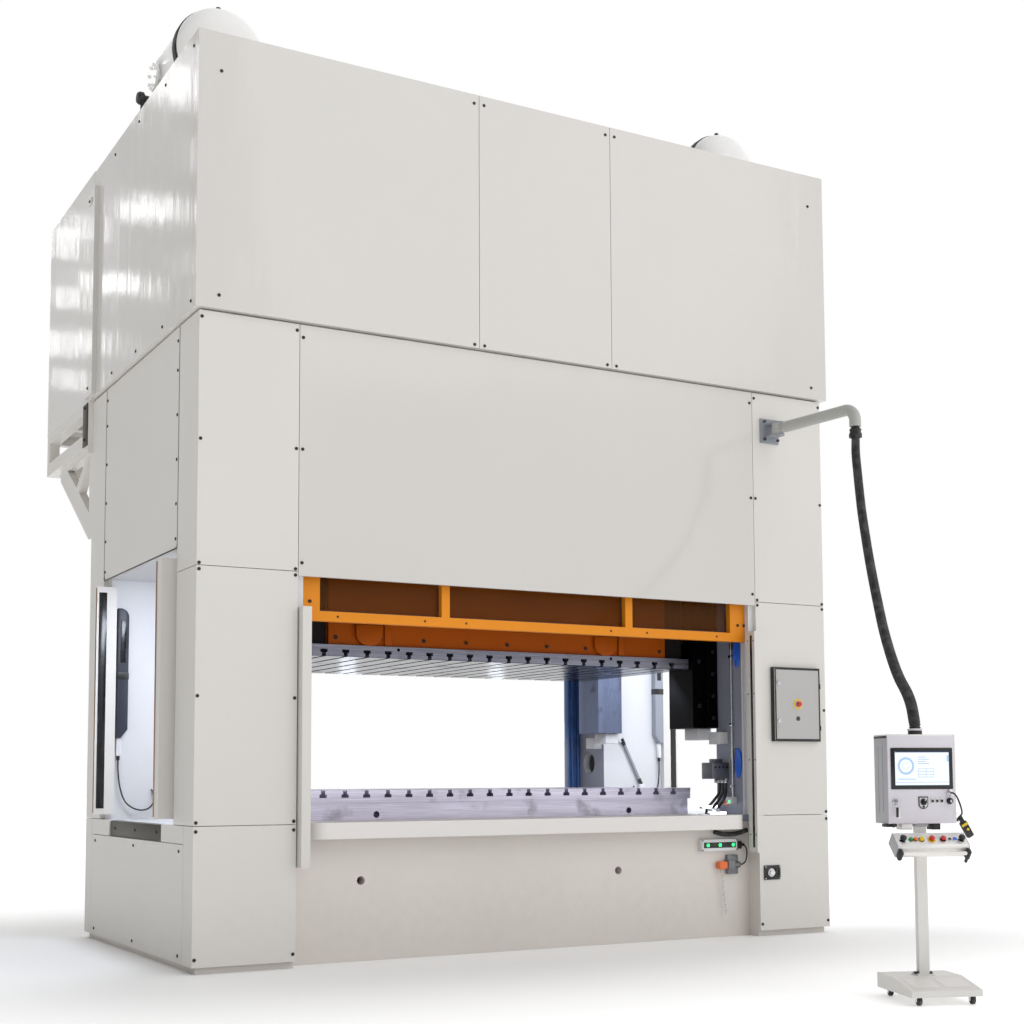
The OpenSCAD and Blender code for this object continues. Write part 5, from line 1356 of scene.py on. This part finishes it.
def lead(
    name: str, route: Sequence[Sequence[float]], radius: float, far: str = "object",
    ends: Sequence[bpy.types.Object] = (),
) -> bpy.types.Object:
    """Args:
        name: the piece's name.
        route: points of its centre line.
        radius: half its thickness.
        far: what its far end goes into.
        ends: separate pieces on it.

    Returns:
        The lead.
    """
    line = curve(route, 0.008)
    made = Solid().pipe(line, radius, 10).piece(name, [RUBBER], "hose_rubber", Body.FRAME.value, CORD_SMOOTH)
    run = sum((b - a).length for a, b in zip(line, line[1:]))
    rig.cord(
        made, exit=tuple(line[0]), length=round(run, 4), diameter=2 * radius, far_end=far, stiffness="medium",
        lay="hanging", path=[tuple(p) for p in line], with_pieces=list(ends),
    )
    return made


@dataclass
class DieSpace:
    """What shows round the bolster: gib end blocks, oil manifold, conduit, light bars and painted blue reflections."""

    gib_low: float = 1.490
    gib_back: float = 0.8002
    gib_bolts: int = 8
    wall: float = 1.7555
    hose_x: float = 1.732
    hose_y: float = -0.92
    hose_pitch: float = 0.04
    hose_radius: float = 0.011
    reflection_step: float = 0.0274
    jamb: float = 0.7795

    def manifold(self) -> None:
        """Makes the oil manifold, the conduit and the switch at the front right."""
        wall = self.wall
        solid = Solid().blocks([
            (0, (1.60, -0.93, 1.115), (wall, -0.80, 1.235), 0.006),
            (0, (1.63, -0.80, 1.13), (1.735, -0.775, 1.22), 0.005),
            (0, (1.64, -0.90, 1.235), (1.72, -0.84, 1.262), 0.004),
        ])
        for k in range(4):
            spot = (self.hose_x, self.hose_y + self.hose_pitch * k, 1.085)
            solid.use(1).turned([(0.010, 0), (0.015, 0.006), (0.015, 0.02), (0.011, 0.034)], spot, UP, 12)
            solid.use(2).bolt((1.63 + 0.035 * k, -0.93, 1.20), FRONT, 0.008, 0.006)
        solid.use(1).bar((1.744, -0.985, 0.94), (1.744, -0.985, 2.14), 0.009, 14)
        clips = [(1, (1.732, -1.003, z), (wall, -0.967, z + 0.022), 0.002) for z in (1.05, 1.50, 2.0)]
        solid.blocks([
            *clips,
            (3, (1.700, -1.02, 0.932), (wall, -0.96, 0.985), 0.004),
            (4, (1.709, -0.955, 0.925), (1.752, -0.915, 0.955), 0.004),
            (5, (1.698, -1.006, 0.945), (1.7, -0.992, 0.957), 0.0),
        ])
        solid.piece("oil_manifold", [ARM_GREY, CHROME, SCREW_BLACK, PALE, AMBER, LED_GREEN], "lamp_grey")

    def hoses(self) -> None:
        """Makes the oil hoses and the light bars below them."""
        x = self.hose_x
        for k in range(3):
            y = self.hose_y + self.hose_pitch * k
            route = [
                (x, y, 1.087), (x, y, 1.05), (x - 0.004, y, 1.01), (x - 0.032 - 0.012 * k, y - 0.008, 0.96),
                (x - 0.080 - 0.016 * k, y - 0.014, 0.91), (x - 0.096 - 0.018 * k, y - 0.016, 0.876),
                (x - 0.098 - 0.018 * k, y - 0.016, 0.8605),
            ]
            lead(f"oil_hose_{k + 1}", route[::-1], self.hose_radius)
        bars = Solid()
        for y, z in ((-0.86, 0.915), (-0.95, 0.872)):
            bars.use(0).block((1.545, y - 0.018, z - 0.016), (1.70, y + 0.018, z), 0.004)
            bars.use(1).block((1.55, y - 0.020, z - 0.012), (1.695, y + 0.012, z + 0.004), 0.003)
        bars.use(0).block((1.60, -0.97, 0.8605), (1.64, -0.84, 0.90), 0.003)
        bars.piece("light_bars", [PALE, LED_WHITE], "lamp_grey")

    def gib_ends(self) -> None:
        """Makes the white blocks under the four gib rails, and the rails' clamp bars."""
        solid, bars, low, back = Solid(), Solid(), self.gib_low, self.gib_back
        for s, t in CORNERS:
            wall, bar = s * self.wall, t * 0.818
            solid.block((s * 1.63, t * 0.55, low - 0.085), (wall, t * 0.72, low - 0.0005), 0.006)
            solid.block((s * 1.67, t * 0.80, low - 0.12), (wall, t * 0.92, low - 0.03), 0.004)
            bars.use(0).block((s * 1.648, t * back, low + 0.004), (s * 1.742, bar, 2.95), 0.003)
            bars.use(1)
            for k in range(self.gib_bolts):
                z = low + 0.075 + 0.165 * k
                bars.bolt((s * 1.70, bar, z), t * BACK, 0.016, 0.012)
                if k % 2 == 0:
                    bars.bolt((s * 1.588, t * back, z + 0.09), t * BACK, 0.016, 0.012)
        solid.piece("gib_end_blocks", [JAMB], "white_paint")
        bars.piece("gib_clamp_bars", [GIB_STEEL, SCREW_BLACK], "dark_steel")

    def blue_reflections(self) -> None:
        """Makes the painted blue reflections: strips down the rear opening's edges and oval plates on the front legs'
        inner faces.
        """
        solid, step = Solid(), self.reflection_step
        for s in SIDES:
            for k in range(4):
                x = 1.646 + step * k
                solid.use(0).block((s * x, 1.165 - 0.012 * (k % 2), 0.87), (s * (x + step), 1.238, 2.30), 0.008)
            # The blue ovals are painted reflections on the front legs' inner faces.
            for z in (1.23, 2.04):
                oval = [(-1.042 + 0.041 * math.cos(a), z + 0.112 * math.sin(a)) for a in sweep(0, 2, 28)[:-1]]
                solid.use(1).prism(oval, Axis.X, s * 1.7505, s * 1.7605, 0.002)
        solid.piece("rear_edge_reflections", [BLUE_REFLECTION, BLUE], "lamp_grey")

    def tube_lamp(self) -> None:
        """Makes the hand lamp that leans on the right rear jamb."""
        low, high = Vector((2.116, 0.762, 1.075)), Vector((1.925, 0.764, 1.455))
        run = (high - low).normalized()
        neck, tip = low + 0.05 * run, high - 0.06 * run
        solid = Solid().use(0).bar(low, neck, 0.016)
        solid.use(1).bar(neck, tip, 0.0135)
        solid.use(0).bar(tip, high, 0.016)
        solid.blocks([
            (2, (2.09, 0.745, 0.99), (2.14, self.jamb, 1.075), 0.006),
            (2, tuple(high - Vector((0.03, 0.006, 0.03))), (high.x + 0.01, self.jamb, high.z + 0.01), 0.003),
        ])
        solid.piece("hand_lamp", [BLACK, LAMP_GREY, PALE], "lamp_grey")

    def build(self) -> None:
        """Makes every fitting of the die space."""
        self.manifold()
        self.hoses()
        self.gib_ends()
        self.blue_reflections()
        self.tube_lamp()


@dataclass
class BedFront:
    """Status light bar, conduit and interlock plug under the apron, and the socket plate."""

    face: float = -1.140
    skin: float = -1.1405
    plate: float = -1.287
    links: int = 15

    def status(self) -> None:
        """Makes the status light bar and the conduit beside it."""
        y = self.face
        solid = Solid().blocks([
            (0, (1.315, y - 0.045, 0.605), (1.625, self.skin, 0.690), 0.006),
            (1, (1.330, y - 0.0475, 0.628), (1.610, y - 0.04, 0.668), 0.003),
        ])
        for x in (1.365, 1.47, 1.585):
            lens = [(0.011, 0), (0.011, 0.004), (0.006, 0.009), (0, 0.010)]
            solid.use(2).turned(lens, (x, y - 0.047, 0.648), FRONT, 14)
        solid.use(1).grid((1.3205, 1.6195), y - 0.045, (0.614, 0.681), 0.005, 0.003)
        solid.block((1.625, y - 0.038, 0.617), (1.672, self.skin, 0.672), 0.005)
        solid.bar((1.672, y - 0.02, 0.645), (1.70, y - 0.02, 0.645), 0.011)
        solid.piece("status_bar", [PALE, BLACK, LED_GREEN], "white_paint")
        line = curve(
            [
                (1.44, y - 0.022, 0.742), (1.50, y - 0.03, 0.726), (1.58, y - 0.036, 0.722),
                (1.655, y - 0.036, 0.732), (1.72, y - 0.03, 0.748),
            ],
            0.004,
        )
        pipe = Solid().pipe(line, [0.017 - 0.003 * ((i // 2) % 2) for i in range(len(line))], 14)
        pipe.piece("apron_conduit", [RUBBER], "hose_rubber", Body.FRAME.value, CORD_SMOOTH)

    def interlock(self) -> None:
        """Makes the interlock plug with its chain and lead."""
        y = self.face
        plug = Solid().blocks([
            (0, (1.462, y - 0.052, 0.478), (1.535, y - 0.006, 0.532), 0.008),
            (1, (1.535, y - 0.058, 0.47), (1.60, self.skin, 0.54), 0.006),
        ])
        gland = [(0.022, 0), (0.026, 0.006), (0.026, 0.04), (0.02, 0.055)]
        plug.turned(gland, (1.60, y - 0.026, 0.505), Axis.X.value, 16)
        plug.block((1.548, y - 0.03, 0.44), (1.64, self.skin, 0.575), 0.004)
        for k in range(self.links):
            centre = Vector((1.49 + 0.0025 * k, y - 0.03, 0.462 - 0.0205 * k))
            wide = Axis.X.value if k % 2 else BACK
            ring = [centre + 0.0075 * math.cos(a) * wide + 0.0135 * math.sin(a) * UP for a in sweep(0, 2, 12)[:-1]]
            plug.use(2).pipe([*ring, ring[0]], 0.0018, 6)
        plug.piece("interlock_plug", [AMBER, ARM_GREY, CHROME], "orange_plastic")
        route = [
            (1.655, y - 0.026, 0.505), (1.678, y - 0.028, 0.507), (1.700, y - 0.033, 0.522),
            (1.712, y - 0.034, 0.552), (1.716, y - 0.034, 0.590), (1.714, y - 0.030, 0.620), (1.70, y - 0.022, 0.645),
        ]
        lead("interlock_lead", route, 0.0055)

    def sockets(self) -> None:
        """Makes the socket plate on the right column."""
        y = self.plate
        plate = Solid().block((1.785, y, 0.396), (1.932, -1.2752, 0.498), 0.01)
        dial = [(0.03, 0), (0.03, 0.004), (0.022, 0.006), (0.022, 0.016), (0.012, 0.018), (0, 0.018)]
        plate.use(1).turned(dial, (1.845, y, 0.447), FRONT, 24)
        cup = [(0.027, 0), (0.03, 0.004), (0.026, 0.010), (0.019, 0.010), (0.017, 0.004), (0, 0.004)]
        plate.use(2).turned(cup, (1.893, y, 0.447), FRONT, 24)
        plate.use(1).grid((1.795, 1.922), y, (0.406, 0.488), 0.005, 0.003)
        plate.piece("socket_plate", [BLACK, CHROME, LENS], "black_plastic")

    def build(self) -> None:
        """Makes the fittings of the bed's front."""
        self.status()
        self.interlock()
        self.sockets()


@dataclass
class LightCurtains:
    """Lens strips on the light curtain posts."""

    post: float = 1.685
    heights: Levels = (0.72, 1.25, 1.72, 2.10)

    def build(self) -> None:
        """Makes the strips and end screws."""
        solid = Solid()
        for s in SIDES:
            x = s * self.post
            solid.use(0).block((x - s * 0.0015, -1.312, 0.63), (x + s * 0.001, -1.290, 2.14), 0.0005)
            solid.use(1)
            for z in self.heights:
                for y in (-1.328, -1.262):
                    solid.bolt((x, y, z), -s * Axis.X.value, 0.005, 0.003)
            for t in SIDES:
                solid.use(0).block((s * 2.40, t * 0.7285, 0.93), (s * 2.455, t * 0.7315, 2.44), 0.0005)
                solid.use(2).block((s * 2.4695, t * 0.735, 0.90), (s * 2.4725, t * 0.757, 2.47), 0.001)
        solid.piece("curtain_lenses", [LENS, SCREW_BLACK, BRONZE], "black_plastic")


@dataclass
class ElectricBox:
    """Trim of the electric box's door and its stop button."""

    front: float = -1.315
    low: Pair = (1.886, 1.392)
    high: Pair = (2.299, 1.912)
    stop: Pair = (2.094, 1.654)
    seal: float = 0.010
    locks: Pair = (1.80, 1.53)
    mushroom: Profile = (
        (0.55, 0), (0.55, 0.4), (0.97, 0.45), (1, 0.6), (0.94, 0.82), (0.7, 0.95), (0.3, 1), (0, 1),
    )

    def build(self) -> None:
        """Makes the door's seal, locks, disc and plug, and the mushroom button."""
        y, (x, z) = self.front, self.stop
        solid = Solid().border(self.low, self.high, (y - 0.002, y + 0.002), self.seal, 0.001)
        barrel = [(0.016, 0), (0.017, 0.004), (0.014, 0.008), (0.006, 0.008), (0.005, 0.005), (0, 0.005)]
        for level in self.locks:
            solid.use(1).turned(barrel, (self.low[0] + 0.034, y, level), FRONT, 18)
        solid.use(2).turned([(0.038, 0), (0.038, 0.002), (0.034, 0.0035), (0.022, 0.0035)], (x, y, z), FRONT, 36)
        solid.use(0).turned([(0.017, 0), (0.017, 0.003), (0.011, 0.007), (0, 0.008)], (x, y, z - 0.105), FRONT, 20)
        solid.piece("box_door_trim", [RUBBER, CHROME, YELLOW], "black_plastic", Body.DOOR.value)
        low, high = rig.box("box_stop_button")
        r, tall = (high.x - low.x) / 2, high.y - low.y
        base = ((low.x + high.x) / 2, high.y, (low.z + high.z) / 2)
        cap = Solid().turned([(r * wide, tall * up) for wide, up in self.mushroom], base, FRONT, 32)
        made = cap.piece("box_stop_mushroom", [RED], "red_plastic", Body.BOX_STOP.value)
        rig.replaces(made, "box_stop_button")


@dataclass
class RearFittings:
    """Handles, hinges and louvres of the rear enclosure's doors."""

    back: float = 2.668
    slats: int = 9
    slat_low: float = 4.25
    slat_pitch: float = 0.055
    slat_span: Pair = (0.24, 0.94)
    hinge_x: float = 2.30
    hinges: Levels = (4.15, 4.80, 5.45)

    def build(self) -> None:
        """Makes the door furniture."""
        solid, y = Solid(), self.back
        pin = y + 0.008
        for s in SIDES:
            for k in range(self.slats):
                z = self.slat_low + self.slat_pitch * k
                outline = [(y - 0.001, z), (y + 0.018, z), (y + 0.012, z + 0.012), (y - 0.001, z + 0.034)]
                solid.use(1).prism(outline, Axis.X, *(s * x for x in self.slat_span))
            solid.use(0).block((s * 0.09, y, 4.72), (s * 0.13, y + 0.03, 4.90), 0.008)
            for z in self.hinges:
                solid.bar((s * self.hinge_x, pin, z - 0.05), (s * self.hinge_x, pin, z + 0.05), 0.012)
        solid.piece("rear_door_furniture", [BLACK, GLOSS], "black_paint")


@dataclass
class ArmFittings:
    """Bolts of the arm bracket, and the collar of the swing arm."""

    plate: float = -1.303
    collar_at: Point = (1.9652, -2.1302, 3.44)
    collar: Profile = (
        (0.031, 0), (0.044, 0.004), (0.044, 0.03), (0.038, 0.036), (0.038, 0.05), (0.042, 0.056), (0.036, 0.066),
        (0.031, 0.07),
    )

    def build(self) -> None:
        """Makes the bolts and the hose collar."""
        bolts = Solid().grid((1.840, 1.960), self.plate, (3.585, 3.715), 0.012, 0.010)
        bolts.piece("bracket_bolts", [DARK_STEEL], "dark_steel")
        collar = Solid().turned(self.collar, self.collar_at, UP, 28)
        collar.piece("hose_collar", [RUBBER], "black_plastic", Body.ARM.value)


@dataclass
class Console:
    """The wheeled operator console in its own turned frame: u right, v back."""

    centre: Pair = (0.541, -4.154)
    turn: float = -20.0
    half: float = 0.185
    slope: float = 40.66
    desk_mid: Pair = (-0.072, 0.8055)
    panel: float = 0.020
    floor: float = 0.8833
    knob: Pair = (0.004, 0.995)
    lock: float = -0.148
    cap: Profile = (
        (0.6, 0), (0.6, 0.3), (0.96, 0.36), (1, 0.55), (0.93, 0.8), (0.65, 0.95), (0, 1),
    )

    @property
    def matrix(self) -> Matrix:
        """Gives the move from the console's frame to the shared frame."""
        return Matrix.Translation((*self.centre, 0)) @ Matrix.Rotation(math.radians(self.turn), 4, "Z")

    def housing(self) -> None:
        """Makes the cabinet: sheet body, bright edges, grey side with grooves, and hose gland."""
        h, gland = self.half, (0, 0.09, 1.338)
        grooves = [
            (3, (-h - 0.0004, v - 0.0012, 0.94), (-h + 0.001, v + 0.0012, 1.28), 0.0) for v in (0.082, 0.136)
        ]
        solid = Solid().blocks([
            (0, (-h + 0.002, 0.0205, 0.8835), (h - 0.004, 0.189, 1.337), 0.004),
            (1, (h - 0.007, 0.0202, 0.8835), (h, 0.190, 1.340), 0.003),
            (1, (-h, 0.0202, 1.332), (h, 0.190, 1.340), 0.003),
            (2, (-h, 0.024, 0.884), (-h + 0.004, 0.190, 1.332), 0.0015),
            *grooves,
            (3, (-h - 0.0004, 0.026, 1.321), (-h + 0.004, 0.190, 1.333), 0.001),
        ])
        solid.turned([(0.036, 0), (0.036, 0.020), (0.033, 0.022), (0, 0.022)], gland, UP, 28)
        solid.use(0).turned([(0.034, 0.022), (0.039, 0.024), (0.039, 0.032), (0.0335, 0.034)], gland, UP, 28)
        made = solid.moved(self.matrix).piece("console_cabinet", [LILAC, SILVER, CONSOLE_GREY, BLACK], "console_lilac")
        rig.replaces(made, "console_housing")

    def screen(self) -> None:
        """Makes the bezel and a lit display with a plain gauge and faint fields."""
        left, right, low, high = (-0.146, 0.146, 1.080, 1.254)
        glass = 0.0132
        fields = [(3, left, right, high - 0.007, high), (4, left, right, low + 0.014, low + 0.016)]
        fields += [(4, -0.022, 0.020 + 0.018 * (k % 2), 1.222 - 0.011 * k, 1.225 - 0.011 * k) for k in range(4)]
        fields += [(4, -0.022, 0.064, z, z + 0.002) for z in (1.120, 1.134, 1.148, 1.162)]
        fields += [(4, u, u + 0.0015, 1.120, 1.164) for u in (-0.022, 0.020, 0.0625)]
        fields += [(2, -0.132, -0.034, 1.108, 1.113), (2, 0.134, right, 1.20, 1.232)]
        solid = Solid().blocks([
            (0, (-0.168, 0.0145, 1.059), (0.168, 0.0205, 1.271), 0.004),
            (1, (left, glass, low), (right, 0.0145, high), 0.0),
            *((tone, (u0, 0.0126, z0), (u1, glass, z1), 0.0) for tone, u0, u1, z0, z1 in fields),
        ])
        for tone, r, off in ((2, 0.045, 0.0004), (1, 0.033, 0.0008), (4, 0.0175, 0.0012), (1, 0.0162, 0.0016)):
            solid.use(tone).turned([(r, 0.0), (r, off), (0, off)], (-0.088, glass, 1.178), FRONT, 40)
        finishes = [LENS, SCREEN_PALE, SCREEN_BLUE, SCREEN_DARK, SCREEN_GREY]
        made = solid.moved(self.matrix).piece("console_display", finishes, "screen_face")
        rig.replaces(made, "console_screen")

    def turning_switches(self) -> None:
        """Makes the key lock with its keys, and the selector's knob."""
        face, x, (u, z) = self.panel, self.lock, self.knob
        barrel = [(0.016, 0), (0.016, 0.006), (0.013, 0.009), (0.013, 0.014), (0, 0.014)]
        lock = Solid().turned(barrel, (x, face, z), FRONT, 24)
        lock.block((-0.1495, face - 0.040, 0.983), (-0.1465, face - 0.010, 1.007), 0.001)
        ring = [(x + 0.010 * math.sin(a), face - 0.036, 0.978 + 0.012 * math.cos(a)) for a in sweep(0, 2, 16)]
        lock.pipe(ring, 0.0013, 6)
        lock.blocks([
            (1, (-0.160, face - 0.039, 0.918), (-0.146, face - 0.0365, 0.968), 0.001),
            (0, (-0.150, face - 0.0355, 0.912), (-0.137, face - 0.033, 0.966), 0.001),
        ])
        made = lock.moved(self.matrix).piece("key_lock", [CHROME, BLACK], "bare_steel", Body.KEY.value)
        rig.replaces(made, "key_switch")
        knob = Solid().turned([(0.017, 0), (0.017, 0.010), (0.015, 0.013), (0, 0.013)], (u, face, z), FRONT, 24)
        knob.blocks([
            (0, (-0.002, face - 0.026, 0.979), (0.010, face - 0.010, 1.011), 0.003),
            (1, (0.002, face - 0.0268, 1.000), (0.006, face - 0.025, 1.0105), 0.0),
        ])
        made = knob.moved(self.matrix).piece("selector_knob", [BLACK, PALE], "black_plastic", Body.SELECTOR.value)
        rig.replaces(made, "mode_selector")

    def fixed_switches(self) -> None:
        """Makes the selector's plate, the toggles and the sockets on the cabinet's front."""
        face, back, (x, z) = self.panel, self.panel + 0.0005, self.knob
        fixed = Solid()
        for tone, half, off in ((0, 0.026, 0.003), (1, 0.021, 0.0045)):
            lower = [(x + half * math.cos(a), 0.984 + half * math.sin(a)) for a in sweep(1, 2, 14)]
            fixed.use(tone).prism([*lower, (x + half, z + half), (x - half, z + half)], Axis.Y, face - off, back)
        fixed.use(0).turned([(0.006, 0.004), (0.006, 0.007), (0, 0.008)], (x, face, 0.9695), FRONT, 14)
        for u in (0.054, 0.079, 0.104):
            fixed.use(1).block((u - 0.010, face - 0.003, 0.988), (u + 0.010, back, 1.018), 0.001)
            fixed.use(0).block((u - 0.006, face - 0.007, 0.992), (u + 0.006, face - 0.002, 1.005), 0.001)
        plug = [(0.017, 0), (0.017, 0.005), (0.013, 0.007), (0.013, 0.017), (0.009, 0.020), (0, 0.020)]
        fixed.use(2).turned(plug, (0.150, face, 1.040), FRONT, 24)
        fixed.use(0).turned(plug, (0.148, face, 0.998), FRONT, 24)
        fixed.use(2).turned([(0.008, 0.018), (0.008, 0.026), (0, 0.026)], (0.148, face, 0.998), FRONT, 16)
        fixed.moved(self.matrix).piece("panel_switches", [BLACK, PALE, CHROME], "black_plastic")

    def desk(self) -> None:
        """Makes the tilted button desk with its rounded nose, cheeks, end caps, handle and holder."""
        deep, thick, nose = 0.0514, 0.071, 0.018
        front = [(-deep + nose * (1 - math.sin(a)), -nose * (1 - math.cos(a))) for a in sweep(0, 0.5, 8)]
        outline = [(deep, 0.0), *front, (-deep, -thick), (deep, -thick)]
        solid = Solid().prism(outline, Axis.X, -0.189, 0.189, 0.002)
        for s in SIDES:
            solid.use(2).prism(outline, Axis.X, s * 0.1885, s * 0.193, 0.0015)
            solid.use(1).block((s * 0.169, -deep - 0.036, -0.065), (s * 0.193, -deep + 0.0005, -0.006), 0.010)
        solid.use(0).bar((-0.1695, -deep - 0.024, -0.025), (0.1695, -deep - 0.024, -0.025), 0.010)
        solid.use(1).block((0.176, -deep - 0.030, -0.088), (0.188, -deep - 0.014, -0.064), 0.003)
        solid.moved(Matrix.Translation((0, *self.desk_mid)) @ Matrix.Rotation(math.radians(self.slope), 4, "X"))
        solid.use(2).block((-0.0275, -0.019, 0.766), (0.0275, 0.0449, 0.810), 0.002)
        made = solid.moved(self.matrix).piece("desk_body", [SILVER, BLACK, CONSOLE_GREY], "desk_silver")
        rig.replaces(made, "button_desk")

    def buttons(self) -> None:
        """Makes the push buttons and the rings they sit in."""
        tilt = math.radians(self.slope)
        up = Vector((0, -math.sin(tilt), math.cos(tilt)))
        specs: dict[str, tuple[float, Finish, str, bool]] = {
            "stop": (0.002, RED, "red_plastic", True), "reset": (0.063, RED, "red_plastic", True),
            "green": (-0.109, GREEN, "green_plastic", False), "orange": (-0.085, AMBER, "orange_plastic", False),
            "yellow": (-0.053, YELLOW, "yellow_plastic", False), "left_palm": (-0.152, BLACK, "black_plastic", True),
            "right_palm": (0.162, BLACK, "black_plastic", True),
        }
        rings = Solid()
        inverse = self.matrix.inverted()
        for name, (u, finish, slot, mushroom) in specs.items():
            base = Vector((u, *self.desk_mid))
            spots = [inverse @ v.co - base for v in frame["nodes"][f"{name}_button"].data.vertices]
            tops = [spot.dot(up) for spot in spots]
            r = max((spot - spot.dot(up) * up).length for spot in spots)
            start, tall = max(min(tops), 0.0015), max(tops)
            if mushroom:
                profile = [(r * wide, start + (tall - start) * rise) for wide, rise in self.cap]
            else:
                profile = [(0.92 * r, start), (0.92 * r, tall - 0.0015), (0.8 * r, tall), (0, tall)]
            made = Solid().turned(profile, base, up, 28).moved(self.matrix).piece(f"{name}_cap", [finish], slot, name)
            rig.replaces(made, f"{name}_button")
            tone = {"stop": 1, "left_palm": 3, "right_palm": 3}.get(name, 0)
            out, hole = (1.5 if name == "stop" else 1.22) * r, 0.95 * r
            rings.use(tone).turned([(out, 0.0002), (out, 0.0014), (hole, 0.0016), (hole, 0.0002)], base, up, 30)
        for u, tone, r in ((0.099, 0, 0.009), (0.126, 2, 0.0125)):
            base = Vector((u, *self.desk_mid))
            rings.use(3).turned([(r, 0), (r, 0.003), (0.85 * r, 0.004)], base, up, 20)
            rings.use(tone).turned([(0.8 * r, 0.003), (0.8 * r, 0.007), (0.6 * r, 0.008), (0, 0.008)], base, up, 20)
        rings.moved(self.matrix).piece("button_rings", [BLACK, YELLOW, BLUE, CHROME], "black_plastic")

    def stand(self) -> None:
        """Makes the trim of the column and foot, and the blocks under the cabinet."""
        solid, top = Solid(), self.floor
        rise = [(v, 0.072 + 0.18534 * (v + 0.216)) for v in (-0.168, -0.030)]
        plate = [(v, z - 0.001) for v, z in rise] + [(v, z + 0.0012) for v, z in reversed(rise)]
        for s in SIDES:
            for v in (0.034, 0.093):
                solid.use(0).bolt((s * 0.039, v, 0.121), UP, 0.006, 0.006)
            solid.use(2).block((s * 0.0276, 0.050, 0.121), (s * 0.046, 0.077, 0.133), 0.003)
            solid.use(4).prism(plate, Axis.X, s * 0.012, s * 0.152)
        solid.blocks([
            (1, (-0.036, 0.037, 0.868), (0.036, 0.090, top), 0.003),
            (3, (-0.112, 0.030, 0.853), (-0.052, 0.100, top), 0.003),
            (2, (0.054, 0.030, 0.852), (0.100, 0.100, top), 0.003),
            (2, (-0.192, 0.030, 0.867), (-0.135, 0.095, top), 0.004),
        ])
        solid.turned([(0.006, 0), (0.009, 0.004), (0.009, 0.018), (0, 0.020)], (-0.16, 0.031, 0.874), FRONT, 14)
        solid.moved(self.matrix).piece("stand_trim", [CHROME, CONSOLE_GREY, BLACK, SILVER, PANEL], "bare_steel")

    def hand_unit(self) -> None:
        """Makes the slanted hand unit at the cabinet's right side, with its hook and lead."""
        solid = Solid().blocks([
            (0, (-0.010, -0.012, -0.034), (0.010, 0.012, 0.0), 0.004),
            (0, (-0.018, -0.016, -0.120), (0.018, 0.016, -0.030), 0.007),
            (1, (-0.0185, -0.0168, -0.054), (0.0185, -0.008, -0.040), 0.002),
        ])
        solid.turned([(0.007, 0.015), (0.007, 0.019), (0, 0.020)], (0, 0, -0.075), FRONT, 14)
        solid.moved(Matrix.Translation((0.206, 0.034, 0.918)) @ Matrix.Rotation(math.radians(-29.5), 4, "Y"))
        solid.use(0).block((0.1852, 0.030, 0.892), (0.200, 0.040, 0.910), 0.002)
        unit = solid.moved(self.matrix).piece("hand_unit", [BLACK, YELLOW], "black_plastic")
        local = [
            (0.150, -0.001, 1.040), (0.152, -0.022, 1.037), (0.160, -0.036, 1.022), (0.172, -0.040, 0.992),
            (0.187, -0.032, 0.956), (0.200, -0.008, 0.934), (0.2055, 0.018, 0.924), (0.206, 0.034, 0.9175),
        ]
        lead("hand_unit_lead", [self.matrix @ Vector(p) for p in local], 0.0045, "tool", [unit])

    def build(self) -> None:
        """Makes the whole console."""
        self.housing()
        self.screen()
        self.turning_switches()
        self.fixed_switches()
        self.desk()
        self.buttons()
        self.stand()
        self.hand_unit()


def report_sizes() -> None:
    """Writes the CAD box and the dressed box side by side."""
    boxes = {"cad": CAD_BOX, "visual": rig.bounds()}
    plain = {name: [[float(v) for v in corner] for corner in box] for name, box in boxes.items()}
    with open(SIZE_FILE, "w", encoding="utf-8") as out:
        json.dump(plain, out)


def main() -> None:
    """Builds the camera, the hose, each sub-assembly and the studio."""
    logging.basicConfig(level=logging.INFO, format="%(message)s")
    Viewpoint().build()
    Hose().build()
    WorkLamps().build()
    CarriedNodes().dress()
    for assembly in (
        Covers(), SurgeTanks(), Guard(), DieSpace(), BedFront(), LightCurtains(), ElectricBox(), RearFittings(),
        ArmFittings(), Console(),
    ):
        assembly.build()
    Studio().build()
    report_sizes()


if __name__ == "__main__":
    main()
